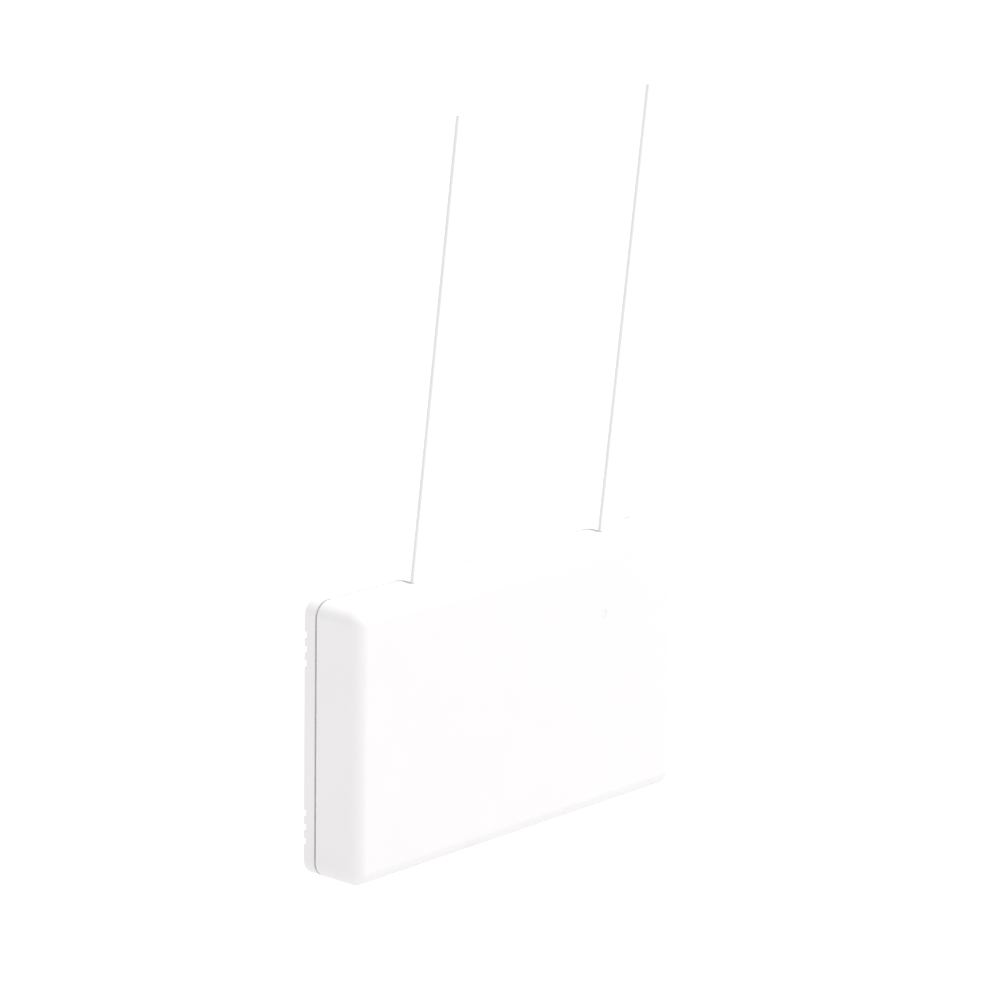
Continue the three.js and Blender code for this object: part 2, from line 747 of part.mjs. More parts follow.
addPart(receiver, 'rear_base', rearBase(), plastic(BASE_WHITE, 0.5));
addPart(receiver, 'front_cover', frontCover(), plastic(COVER_WHITE, 0.45));
addPart(receiver, 'light_pipe', lightPipe(), plastic(PIPE_MILK, 0.15), ...STATUS_LED);
addPart(receiver, 'circuit_board', circuitBoard(), plastic(BOARD_GREEN, 0.4));

BOARD_SCREWS.forEach(([x, z], i) => {
  addPart(board, `board_screw_${i + 1}`, screw(...BOARD_SCREW), metal(STEEL), x, z);
});

for (const side of ['left', 'right']) {
  const wire = antennaGroup(side);
  addPart(wire, `antenna_sheath_${side}`, antennaSheath(), plastic(SHEATH_WHITE, 0.4));
  addPart(wire, `antenna_core_${side}`, antennaCore(), metal(COPPER, 0.3));
  receiver.add(wire);

  const z = ANTENNA_TERMINAL_TOP - ANTENNA_TERMINAL.height / 2;
  const x = clampX(side, z);
  const terminal = antennaTerminal(side, x, z);
  addPart(board, `antenna_terminal_${side}`, terminal, plastic(TERMINAL_GREEN, 0.35), x, z);
  const clamp = addPart(board, `antenna_clamp_screw_${side}`, screw(...CLAMP_SCREW), metal(STEEL), x, z);
  clamp.position.y = CLAMP_SCREW_SEAT;

  addPart(board, `receiver_board_${side}`, receiverBoard(), plastic(CARD_GREEN, 0.4), ...RECEIVERS[side]);
  addPart(board, `receiver_shield_${side}`, receiverShield(), metal(TIN, 0.3), ...RECEIVERS[side]);
}

addPart(board, 'terminal_block', terminalBlock(), plastic(TERMINAL_GREEN, 0.35), ...TERMINAL_BLOCK);
for (let way = 0; way < TERMINAL_WAYS; way += 1) {
  const x = TERMINAL_BLOCK[0] + (way - (TERMINAL_WAYS - 1) / 2) * TERMINAL_PITCH;
  const name = `terminal_screw_${way + 1}`;
  const wireScrew = addPart(board, name, screw(...WIRE_SCREW), metal(STEEL), x, TERMINAL_BLOCK[1]);
  wireScrew.position.y = WIRE_SCREW_SEAT;
}

addPart(board, 'tamper_switch_body', tamperSwitchBody(), plastic(BLACK), ...TAMPER_SWITCH);
addPart(board, 'tamper_plunger', tamperPlunger(), plastic(CREAM), ...TAMPER_SWITCH);
addPart(board, 'tamper_spring', tamperSpring(), metal(STEEL), ...TAMPER_SWITCH);
addPart(board, 'learn_button_body', learnButtonBody(), plastic(BLACK), ...LEARN_BUTTON);
addPart(board, 'learn_button_cap', learnButtonCap(), plastic(BLACK), ...LEARN_BUTTON);

addPart(board, 'dip_switch_body', dipSwitchBody(), plastic(SWITCH_RED, 0.4), ...DIP_SWITCH);
for (let way = 0; way < DIP_WAYS; way += 1) {
  const x = DIP_SWITCH[0] + (way - (DIP_WAYS - 1) / 2) * PIN_PITCH;
  addPart(board, `dip_slider_${way + 1}`, dipSlider(), plastic(SLIDER_WHITE, 0.4), x, DIP_SWITCH[1]);
}

addPart(board, 'pin_header', pinHeader(), plastic(BLACK), ...PIN_HEADER);
addPart(board, 'jumper_cap', jumperCap(), plastic(JUMPER_BLUE, 0.4), ...PIN_HEADER);
addPart(board, 'microcontroller', microcontroller(), plastic(BLACK, 0.5), ...MICROCONTROLLER);
addPart(board, 'crystal', crystal(), metal(TIN, 0.25), ...CRYSTAL);
addPart(board, 'voltage_regulator', regulator(), plastic(BLACK, 0.5), ...REGULATOR);
addPart(board, 'capacitor_large', capacitor(4, 11), plastic(SLEEVE_GREY, 0.35), ...CAPACITORS[0]);
addPart(board, 'capacitor_small', capacitor(3.15, 9), plastic(SLEEVE_GREY, 0.35), ...CAPACITORS[1]);
RELAYS.forEach(([x, z], i) => {
  addPart(board, `relay_${i + 1}`, relay(), plastic(CREAM, 0.4), x, z);
});
addPart(board, 'status_led', statusLed(), plastic(LENS_GREEN, 0.15), ...STATUS_LED);

export default receiver;
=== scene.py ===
import json
import math

import bmesh
import bpy
from mathutils import Matrix, Vector


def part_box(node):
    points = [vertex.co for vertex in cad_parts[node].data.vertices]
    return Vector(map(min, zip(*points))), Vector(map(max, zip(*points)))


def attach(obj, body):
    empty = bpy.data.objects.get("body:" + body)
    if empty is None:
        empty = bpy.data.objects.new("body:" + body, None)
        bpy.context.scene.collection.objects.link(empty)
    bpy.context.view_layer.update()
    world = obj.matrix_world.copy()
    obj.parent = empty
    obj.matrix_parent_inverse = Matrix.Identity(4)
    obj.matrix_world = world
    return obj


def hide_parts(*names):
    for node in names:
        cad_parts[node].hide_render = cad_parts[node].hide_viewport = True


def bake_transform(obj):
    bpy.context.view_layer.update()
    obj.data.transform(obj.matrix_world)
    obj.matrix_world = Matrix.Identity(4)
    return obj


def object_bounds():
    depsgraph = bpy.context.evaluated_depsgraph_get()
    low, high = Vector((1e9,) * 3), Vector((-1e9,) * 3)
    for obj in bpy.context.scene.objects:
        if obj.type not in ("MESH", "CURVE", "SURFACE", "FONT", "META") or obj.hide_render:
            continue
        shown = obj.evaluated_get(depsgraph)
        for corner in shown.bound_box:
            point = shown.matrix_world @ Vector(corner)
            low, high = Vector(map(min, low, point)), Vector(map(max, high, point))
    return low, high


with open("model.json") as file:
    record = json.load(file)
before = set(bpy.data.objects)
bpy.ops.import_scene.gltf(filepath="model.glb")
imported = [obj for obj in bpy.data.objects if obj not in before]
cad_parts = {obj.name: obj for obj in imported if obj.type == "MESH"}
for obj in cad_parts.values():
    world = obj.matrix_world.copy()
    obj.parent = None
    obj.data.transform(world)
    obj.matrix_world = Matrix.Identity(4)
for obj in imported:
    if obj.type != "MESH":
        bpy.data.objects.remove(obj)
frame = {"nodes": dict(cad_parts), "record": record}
cad_low, cad_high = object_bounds()

# The shapes are drawn in millimetres and brought to metres when they are finished.
MM = 0.001


def box_mm(node):
    """Lowest and highest corner of a CAD node, in millimetres."""
    low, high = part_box(node)
    return low / MM, high / MM


def centre_mm(node):
    low, high = box_mm(node)
    return (low + high) / 2


# ---- Dimensions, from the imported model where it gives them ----

base_low = box_mm("rear_base")[0]
cover_low, cover_high = box_mm("front_cover")
board_low, board_high = box_mm("circuit_board")

HALF_WIDTH = cover_high.x
HALF_HEIGHT = cover_high.z
FRONT_Y = cover_low.y
COVER_REAR_Y = cover_high.y
SEAM_GAP = 0.75
BASE_FRONT_Y = COVER_REAR_Y + SEAM_GAP
CORNER_RADIUS = 5.6
FRONT_FILLET = 5.2
REAR_EDGE = 0.25
MOULDED_EDGE = 0.1
COVER_WALL = 2.2
COVER_INNER_Y = FRONT_Y + COVER_WALL
TONGUE_CLEARANCE = 0.3
TONGUE_INSET = COVER_WALL + TONGUE_CLEARANCE
TONGUE_WALL = 1.2
TONGUE_OVERLAP = 1.825
TONGUE_FRONT_Y = COVER_REAR_Y - TONGUE_OVERLAP
PANEL_REAR_Y = -1.2
PANEL_FRONT_Y = -3.4
RIM_WIDTH = 3
CORNER_STEPS = 20
FILLET_STEPS = 14
SMALLEST_CORNER = 0.4

SHEATH_RADIUS = 0.6
SHEATH_BORE = 0.36
CORE_RADIUS = 0.28
SLOT_WIDTH = 1.6
SLOT_END_GAP = 0.15
SLOT_END_Y = base_low.y - SLOT_END_GAP
SLOT_CORNER = 1.5
TAB_WIDTH = 8
TAB_GAP = 0.06
TAB_FILLET = 2.6
SEAM_CHAMFER = 0.19
CHAMFER_FADE = 3
LATCH_Z = 35.3
LATCH_LENGTH = 8.8
LATCH_BUMP_HEIGHT = 0.2
LATCH_BUMP_Y = (-6.5, -7.3)
EJECTOR_RADIUS = 3
EJECTOR_DEPTH = 0.12
COVER_EJECTORS = [(x, z) for x in (-64, -21, 21, 64) for z in (-33, 33)]
BASE_EJECTORS = [(x, z) for x in (-66, -24, 24, 66) for z in (-29, 30)]

PIPE_RADIUS = 1.6
PIPE_HOLE_RADIUS = 1.61
COLLAR_RADIUS = 3
COLLAR_REAR_Y = -17.8
TAMPER_POST_RADIUS = 2.4
TAMPER_POST_REAR_Y = -16.4

# The board's shared measures: the pitch of its pins, and how far its print and its copper stand out.
PITCH = 2.54
PRINT_SINK = 0.02
PRINT_HEIGHT = 0.03
COPPER_HEIGHT = 0.045
TERMINAL_WAYS = range(1, 7)
BOARD_SCREWS = range(1, 5)

# How far a joined piece is rooted in its neighbour, and how far a cutting tool reaches past a face.
ROOT = 0.5
PAST = 1


def wire_axis(side):
    """The two ends of an antenna's axis, in millimetres: it leans to +X and to -Y as it rises."""
    low, high = box_mm(f"antenna_core_{side}")
    foot = Vector((low.x + CORE_RADIUS, high.y - CORE_RADIUS, low.z))
    tip = Vector((high.x - CORE_RADIUS, low.y + CORE_RADIUS, high.z))
    return foot, tip


def wire_at(side, z):
    foot, tip = wire_axis(side)
    return foot.lerp(tip, (z - foot.z) / (tip.z - foot.z))


WIRE_X = {side: wire_at(side, HALF_HEIGHT).x for side in ("left", "right")}

# ---- Mesh tools, in millimetres ----

# Edges that turn by more than this many degrees are rounded, and stay creases where they aren't.
SHARP_ANGLE = 32
FLAT_FACE_WEIGHT = 60


def scene_object(name, bm):
    bmesh.ops.recalc_face_normals(bm, faces=bm.faces)
    mesh = bpy.data.meshes.new(name)
    bm.to_mesh(mesh)
    bm.free()
    obj = bpy.data.objects.new(name, mesh)
    bpy.context.scene.collection.objects.link(obj)
    return obj


def apply_modifiers(obj):
    bpy.context.view_layer.update()
    evaluated = obj.evaluated_get(bpy.context.evaluated_depsgraph_get())
    mesh = bpy.data.meshes.new_from_object(evaluated)
    obj.modifiers.clear()
    old = obj.data
    obj.data = mesh
    bpy.data.meshes.remove(old)


def combine(obj, tools, operation):
    """Joins tools to obj, or cuts them out of it, and removes them."""
    for tool in tools:
        step = obj.modifiers.new("combine", "BOOLEAN")
        step.operation = operation
        step.solver = "EXACT"
        step.object = tool
        apply_modifiers(obj)
        mesh = tool.data
        bpy.data.objects.remove(tool)
        bpy.data.meshes.remove(mesh)
    return obj


def skin(bm, loops):
    """Walls from each loop of vertices to the next, and a face over each end."""
    for near, far in zip(loops, loops[1:]):
        for i in range(len(near)):
            j = (i + 1) % len(near)
            bm.faces.new((near[i], near[j], far[j], far[i]))
    bm.faces.new(loops[0])
    bm.faces.new(loops[-1])


def extruded(outline, axis, start, end, name="tool"):
    """A closed outline of 2-D points, extruded along an axis from start to end."""
    place = {
        "Y": lambda a, b, t: (a, t, b),
        "Z": lambda a, b, t: (a, b, t),
        "X": lambda a, b, t: (t, a, b),
    }[axis]
    bm = bmesh.new()
    first = [bm.verts.new(place(a, b, start)) for a, b in outline]
    last = [bm.verts.new(place(a, b, end)) for a, b in outline]
    bm.faces.new(first)
    bm.faces.new(last)
    count = len(outline)
    for i in range(count):
        j = (i + 1) % count
        bm.faces.new((first[i], first[j], last[j], last[i]))
    return scene_object(name, bm)


def arc(centre_a, centre_b, radius, start, end, steps):
    """Points on an arc, in degrees, both ends included."""
    points = []
    for i in range(steps + 1):
        angle = math.radians(start + (end - start) * i / steps)
        points.append((centre_a + radius * math.cos(angle), centre_b + radius * math.sin(angle)))
    return points


def circle(a, b, radius, steps=48):
    return arc(a, b, radius, 0, 360 - 360 / steps, steps - 1)


def rounded_rectangle(left, right, bottom, top, radius, steps=6):
    return (
        arc(right - radius, top - radius, radius, 0, 90, steps)
        + arc(left + radius, top - radius, radius, 90, 180, steps)
        + arc(left + radius, bottom + radius, radius, 180, 270, steps)
        + arc(right - radius, bottom + radius, radius, 270, 360, steps)
    )


def block(left, right, rear, front, bottom, top, name="tool"):
    return extruded([(left, bottom), (right, bottom), (right, top), (left, top)], "Y", rear, front, name)


def bar(x, z, radius, rear, front, steps=48):
    return extruded(circle(x, z, radius, steps), "Y", rear, front)


def turned(profile, steps=48, name="tool"):
    """A profile of (radius, y) points turned about the Y axis. Points on the axis are shared."""
    bm = bmesh.new()
    rings = []
    for radius, y in profile:
        if radius == 0:
            rings.append([bm.verts.new((0, y, 0))] * steps)
            continue
        ring = []
        for i in range(steps):
            angle = 2 * math.pi * i / steps
            ring.append(bm.verts.new((radius * math.cos(angle), y, radius * math.sin(angle))))
        rings.append(ring)
    for near, far in zip(rings, rings[1:]):
        for i in range(steps):
            j = (i + 1) % steps
            corners = [near[i], near[j], far[j], far[i]]
            distinct = list(dict.fromkeys(corners))
            if len(distinct) > 2:
                bm.faces.new(distinct)
    return scene_object(name, bm)


def housing_ring(inset, y):
    radius = max(CORNER_RADIUS - inset, SMALLEST_CORNER)
    half_x, half_z = HALF_WIDTH - inset, HALF_HEIGHT - inset
    outline = rounded_rectangle(-half_x, half_x, -half_z, half_z, radius, CORNER_STEPS)
    return [(x, y, z) for x, z in outline]


def housing_skin(rings, name="tool"):
    """A solid skinned over the housing's outline at each (inset, y), flat at both ends."""
    bm = bmesh.new()
    skin(bm, [[bm.verts.new(place) for place in housing_ring(inset, y)] for inset, y in rings])
    return scene_object(name, bm)


def fillet(inset, face_y, radius, outward, steps):
    """(inset, y) from the side wall round to the flat face at face_y, which looks outward along Y."""
    rings = []
    for i in range(steps + 1):
        angle = math.pi / 2 * i / steps
        rings.append(
            (inset + radius * (1 - math.cos(angle)), face_y - outward * radius * (1 - math.sin(angle)))
        )
    return rings


def soften(obj, width, segments=3, angle=SHARP_ANGLE):
    """Rounds the sharp edges."""
    bevel = obj.modifiers.new("bevel", "BEVEL")
    bevel.width = width
    bevel.segments = segments
    bevel.limit_method = "ANGLE"
    bevel.angle_limit = math.radians(angle)
    bevel.use_clamp_overlap = True
    bevel.miter_outer = "MITER_ARC"
    apply_modifiers(obj)
    return obj


def settle(obj, body, slot, *replaced, look=None):
    """Brings a finished piece to metres, shades it, and puts it on its body."""
    obj.data.transform(Matrix.Scale(MM, 4))
    shade(obj)
    obj.data.materials.clear()
    obj.data.materials.append(finishes[look or slot].material)
    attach(obj, body)
    if replaced:
        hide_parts(*replaced)
    return obj


def shade(obj):
    """Smooth shading with flat faces kept flat."""
    obj.data.polygons.foreach_set("use_smooth", [True] * len(obj.data.polygons))
    obj.data.set_sharp_from_angle(angle=math.radians(SHARP_ANGLE))
    weighted = obj.modifiers.new("weighted", "WEIGHTED_NORMAL")
    weighted.keep_sharp = True
    weighted.weight = FLAT_FACE_WEIGHT
    apply_modifiers(obj)


# ---- Materials ----


class Finish:
    """A principled material under construction. Pattern sizes are in millimetres."""

    def __init__(self, name, roughness=0.5, metallic=0.0, **sockets):
        self.material = bpy.data.materials.new(name)
        self.material.use_nodes = True
        self.nodes = self.material.node_tree.nodes
        self.links = self.material.node_tree.links
        self.shader = self.nodes["Principled BSDF"]
        self.shader.inputs["Roughness"].default_value = roughness
        self.shader.inputs["Metallic"].default_value = metallic
        for socket, value in sockets.items():
            self.shader.inputs[socket.replace("_", " ")].default_value = value
        self.coords = self.nodes.new("ShaderNodeTexCoord").outputs["Object"]
        self.bumps = []

    def stretched(self, x, y, z):
        mapping = self.nodes.new("ShaderNodeMapping")
        mapping.inputs["Scale"].default_value = (x, y, z)
        self.links.new(self.coords, mapping.inputs["Vector"])
        return mapping.outputs["Vector"]

    def noise(self, size, detail=2.0, coords=None):
        texture = self.nodes.new("ShaderNodeTexNoise")
        texture.inputs["Scale"].default_value = 1 / (size * MM)
        texture.inputs["Detail"].default_value = detail
        self.links.new(coords or self.coords, texture.inputs["Vector"])
        return texture.outputs["Fac"]

    def spread(self, source, low, high, from_low=0.3, from_high=0.7):
        scale = self.nodes.new("ShaderNodeMapRange")
        scale.inputs["From Min"].default_value = from_low
        scale.inputs["From Max"].default_value = from_high
        scale.inputs["To Min"].default_value = low
        scale.inputs["To Max"].default_value = high
        self.links.new(source, scale.inputs["Value"])
        return scale.outputs["Result"]

    def colours(self, source, stops):
        ramp = self.nodes.new("ShaderNodeValToRGB")
        elements = ramp.color_ramp.elements
        while len(elements) < len(stops):
            elements.new(0.5)
        for element, (position, colour) in zip(elements, stops):
            element.position = position
            element.color = (*colour, 1)
        self.links.new(source, ramp.inputs["Fac"])
        self.links.new(ramp.outputs["Color"], self.shader.inputs["Base Color"])
        return self

    def rough(self, source, low, high):
        self.links.new(self.spread(source, low, high), self.shader.inputs["Roughness"])
        return self

    def bump(self, height, depth, strength=1.0):
        node = self.nodes.new("ShaderNodeBump")
        node.inputs["Strength"].default_value = strength
        node.inputs["Distance"].default_value = depth * MM
        self.links.new(height, node.inputs["Height"])
        if self.bumps:
            self.links.new(self.bumps[-1].outputs["Normal"], node.inputs["Normal"])
        self.bumps.append(node)
        self.links.new(node.outputs["Normal"], self.shader.inputs["Normal"])
        return self


def tint(colour, factor):
    return tuple(min(1.0, channel * factor) for channel in colour)


def within(finish, value, low, high):
    """One where a value lies between two limits in millimetres, and nought elsewhere."""
    test = finish.nodes.new("ShaderNodeMath")
    test.operation = "COMPARE"
    test.inputs[1].default_value = (low + high) / 2 * MM
    test.inputs[2].default_value = (high - low) / 2 * MM
    finish.links.new(value, test.inputs[0])
    return test.outputs["Value"]


def paint_seam_shade(finish, rear, front, reach, colour):
    """Painted shade: a dark warm band painted round the tongue where the seam's gap shades it, from rear to
    front, no higher or lower than reach.
    """
    socket = finish.shader.inputs["Base Color"]
    plain = socket.links[0].from_socket
    place = finish.nodes.new("ShaderNodeSeparateXYZ")
    finish.links.new(finish.coords, place.inputs["Vector"])
    both = finish.nodes.new("ShaderNodeMath")
    both.operation = "MULTIPLY"
    finish.links.new(within(finish, place.outputs["Y"], front, rear), both.inputs[0])
    finish.links.new(within(finish, place.outputs["Z"], -reach, reach), both.inputs[1])
    mix = finish.nodes.new("ShaderNodeMix")
    mix.data_type = "RGBA"
    mix.inputs["B"].default_value = (*colour, 1)
    finish.links.new(both.outputs["Value"], mix.inputs["Factor"])
    finish.links.new(plain, mix.inputs["A"])
    finish.links.new(mix.outputs["Result"], socket)


def moulded(name, colour, roughness, grain=0.32, depth=0.012, variation=0.02, **sockets):
    """Injection-moulded plastic: a fine spark-eroded grain over slow changes of tone."""
    finish = Finish(name, roughness, **sockets)
    finish.colours(
        finish.noise(18, 3),
        [(0.3, tint(colour, 1 - variation)), (0.7, tint(colour, 1 + variation))],
    )
    finish.rough(finish.noise(2.5, 3), roughness - 0.05, roughness + 0.06)
    finish.bump(finish.noise(grain, 2), depth)
    finish.bump(finish.noise(9, 1), depth * 1.5, 0.5)
    return finish


def metallic(name, colour, roughness, along=(1, 1, 1)):
    finish = Finish(name, roughness, 1.0)
    finish.colours(finish.noise(1.6, 4), [(0.25, tint(colour, 0.82)), (0.75, tint(colour, 1.08))])
    brushed = finish.noise(0.25, 3, finish.stretched(*along))
    finish.rough(brushed, roughness - 0.08, roughness + 0.14)
    finish.bump(brushed, 0.006)
    return finish


# Bands to a millimetre in the board's glass cloth, on Blender's own scale for wave textures.
THREAD_SCALE = 0.64


def laminate(name, colour):
    """Solder mask over glass cloth: the cloth's fine weave shows through as a soft relief."""
    finish = Finish(name, 0.34, Specular_IOR_Level=0.32)
    finish.colours(finish.noise(7, 3), [(0.3, tint(colour, 0.86)), (0.7, tint(colour, 1.12))])
    finish.rough(finish.noise(3, 3), 0.28, 0.42)
    for direction in ("X", "Z"):
        wave = finish.nodes.new("ShaderNodeTexWave")
        wave.bands_direction = direction
        wave.inputs["Scale"].default_value = THREAD_SCALE / MM
        finish.links.new(finish.coords, wave.inputs["Vector"])
        finish.bump(wave.outputs["Fac"], 0.004, 0.6)
    return finish


COVER_WHITE = (0.8, 0.785, 0.792)
BASE_WHITE = (0.8, 0.782, 0.785)
INSULATION_WHITE = (0.74, 0.735, 0.74)
PIPE_WHITE = (0.782, 0.77, 0.776)
# Painted shade: the dark warm brown painted on the tongue where the seam's gap shades it.
SEAM_SHADE_BROWN = (0.56, 0.43, 0.38)
PRINT_WHITE = (0.72, 0.72, 0.68)

slot_colour = {entry["slot"]: entry["base_color"][:3] for entry in frame["record"]["materials"]}
finishes = {
    "cover_plastic": moulded("cover_plastic", COVER_WHITE, 0.46, variation=0.006),
    "base_plastic": moulded("base_plastic", BASE_WHITE, 0.5, variation=0.008),
    "light_pipe": moulded("light_pipe_plastic", PIPE_WHITE, 0.3, 0.15, 0.003, 0.01),
    "wire_insulation": moulded("wire_insulation", INSULATION_WHITE, 0.38, 0.2, 0.004, 0.015),
    "copper": metallic("copper", (0.62, 0.3, 0.14), 0.3, (4, 4, 0.3)),
    "tinned_copper": metallic("tinned_copper", (0.66, 0.64, 0.6), 0.34, (4, 4, 0.3)),
    "board_laminate": laminate("board_laminate", slot_colour["board_laminate"]),
    "led_lens": moulded("led_lens", (0.32, 0.72, 0.4), 0.12, 0.3, 0.001, 0.05, Transmission_Weight=0.5),
}
for slot, along in (("steel", (1, 6, 1)), ("tinned_steel", (3, 1, 1))):
    finishes[slot] = metallic(slot, slot_colour[slot], 0.27, along)
for slot, roughness in (
    ("terminal_plastic", 0.36), ("black_plastic", 0.5), ("cream_plastic", 0.42), ("switch_red", 0.34),
    ("slider_white", 0.4), ("jumper_blue", 0.38), ("capacitor_sleeve", 0.3),
):
    finishes[slot] = moulded(slot, slot_colour[slot], roughness, 0.28, 0.006, 0.06)
finishes["tracks"] = laminate("masked_tracks", tint(slot_colour["board_laminate"], 1.75))
finishes["print"] = moulded("printed_ink", PRINT_WHITE, 0.6, 0.3, 0.004, 0.05)
# Painted shade: the band of the base's tongue seen through the seam is painted dark warm brown, standing in
# for the gap's shade and warm interreflection.
SEAM_SHADE_REACH = HALF_HEIGHT - TONGUE_INSET + 0.05
SEAM_SHADE_REAR_Y = BASE_FRONT_Y - 0.02
SEAM_SHADE_FRONT_Y = COVER_REAR_Y - 0.25
paint_seam_shade(finishes["base_plastic"], SEAM_SHADE_REAR_Y, SEAM_SHADE_FRONT_Y, SEAM_SHADE_REACH, SEAM_SHADE_BROWN)

# ---- Housing ----


def slot_outline(x):
    """The antenna notch seen from above, in x and y: a slot with a round end and a flared mouth on its
    left, and beside it the room for the base's guide tab."""
    left = x - SLOT_WIDTH / 2
    right = x + SLOT_WIDTH / 2 + TAB_WIDTH + TAB_GAP
    end_radius = SLOT_WIDTH / 2
    mouth = arc(left - SLOT_CORNER, COVER_REAR_Y - SLOT_CORNER, SLOT_CORNER, 90, 0, 10)
    round_end = arc(x, SLOT_END_Y + end_radius, end_radius, 180, 270, 10)
    rear = COVER_REAR_Y + 2 * PAST
    return [(left - SLOT_CORNER, rear), *mouth, *round_end, (right, SLOT_END_Y), (right, rear)]


def tab_outline(x):
    """The base's guide tab seen from above: it closes the notch up to the slot, and a hollow fillet
    joins its left side to the base's edge."""
    left = x + SLOT_WIDTH / 2
    right = left + TAB_WIDTH
    front = SLOT_END_Y + SLOT_END_GAP
    rear = BASE_FRONT_Y + PAST
    root = arc(left - TAB_FILLET, BASE_FRONT_Y - TAB_FILLET, TAB_FILLET, 0, 90, 12)
    return [(right, rear), (right, front), (left, front), *root, (left - TAB_FILLET, rear)]


def front_cover():
    front = fillet(0, FRONT_Y, FRONT_FILLET, -1, FILLET_STEPS)
    cover = housing_skin([(0, COVER_REAR_Y), *front], "cover_shell")
    inner_fillet = fillet(COVER_WALL, COVER_INNER_Y, FRONT_FILLET - COVER_WALL, -1, FILLET_STEPS // 2)
    hollow = housing_skin([(COVER_WALL, COVER_REAR_Y + PAST), *inner_fillet])
    combine(cover, [hollow], "DIFFERENCE")
    led = centre_mm("light_pipe")
    tamper = centre_mm("tamper_plunger")
    posts = [
        bar(led.x, led.z, COLLAR_RADIUS, COLLAR_REAR_Y, COVER_INNER_Y - ROOT),
        bar(tamper.x, tamper.z, TAMPER_POST_RADIUS, TAMPER_POST_REAR_Y, COVER_INNER_Y - ROOT),
    ]
    half_bump = (LATCH_LENGTH - 1) / 2
    for side in (-1, 1):
        inner = side * (HALF_WIDTH - COVER_WALL)
        posts.append(block(
            inner - LATCH_BUMP_HEIGHT, inner + LATCH_BUMP_HEIGHT, *LATCH_BUMP_Y,
            LATCH_Z - half_bump, LATCH_Z + half_bump,
        ))
    combine(cover, posts, "UNION")
    cuts = [bar(led.x, led.z, PIPE_HOLE_RADIUS, 0, FRONT_Y - PAST)]
    for x, z in COVER_EJECTORS:
        cuts.append(bar(x, z, EJECTOR_RADIUS, COVER_INNER_Y + PAST, COVER_INNER_Y - EJECTOR_DEPTH))
    for x in WIRE_X.values():
        cuts.append(extruded(slot_outline(x), "Z", HALF_HEIGHT - 2 * COVER_WALL, HALF_HEIGHT + PAST))
    combine(cover, cuts, "DIFFERENCE")
    soften(cover, MOULDED_EDGE)
    return settle(cover, "cover", "cover_plastic", "front_cover")


def keyhole_outline(x, z):
    """A keyhole: a round opening for the screw's head and a slot above it for the shank."""
    head, slot, rise = 4.0, 2.1, 8.0
    meet = math.degrees(math.asin(slot / head))
    return (
        arc(x, z, head, 90 + meet, 450 - meet, 40)
        + arc(x, z + rise, slot, 0, 180, 16)
    )


def seam_wedge():
    """Cut from the base, it chamfers the top of the front edge and fades out at both corners."""
    straight = HALF_WIDTH - CORNER_RADIUS
    clear = -0.05
    bm = bmesh.new()
    sections = []
    for x, size in (
        (-straight, clear), (CHAMFER_FADE - straight, SEAM_CHAMFER),
        (straight - CHAMFER_FADE, SEAM_CHAMFER), (straight, clear),
    ):
        sections.append([
            bm.verts.new((x, BASE_FRONT_Y + size + PAST, HALF_HEIGHT + PAST)),
            bm.verts.new((x, BASE_FRONT_Y - PAST, HALF_HEIGHT - size - PAST)),
            bm.verts.new((x, BASE_FRONT_Y - PAST, HALF_HEIGHT + PAST)),
        ])
    skin(bm, sections)
    return scene_object("tool", bm)


def side_openings():
    """In each side, two groups of three notches in the rear edge and the window for the latch bump."""
    reach, depth, half_height = 3.5, -1.05, 1.2
    group_z, pitch = 30.7, 4.9
    half_window = LATCH_LENGTH / 2
    openings = []
    for side in (-1, 1):
        edge = side * HALF_WIDTH
        for group in (-1, 1):
            for step in (-1, 0, 1):
                z = group * group_z + step * pitch
                bottom, top = z - half_height, z + half_height
                openings.append(block(edge - reach, edge + reach, PAST, depth, bottom, top))
        tongue_x = side * (HALF_WIDTH - COVER_WALL - 1)
        openings.append(block(
            tongue_x - 2, tongue_x + 2, BASE_FRONT_Y, FRONT_Y, LATCH_Z - half_window, LATCH_Z + half_window
        ))
    return openings


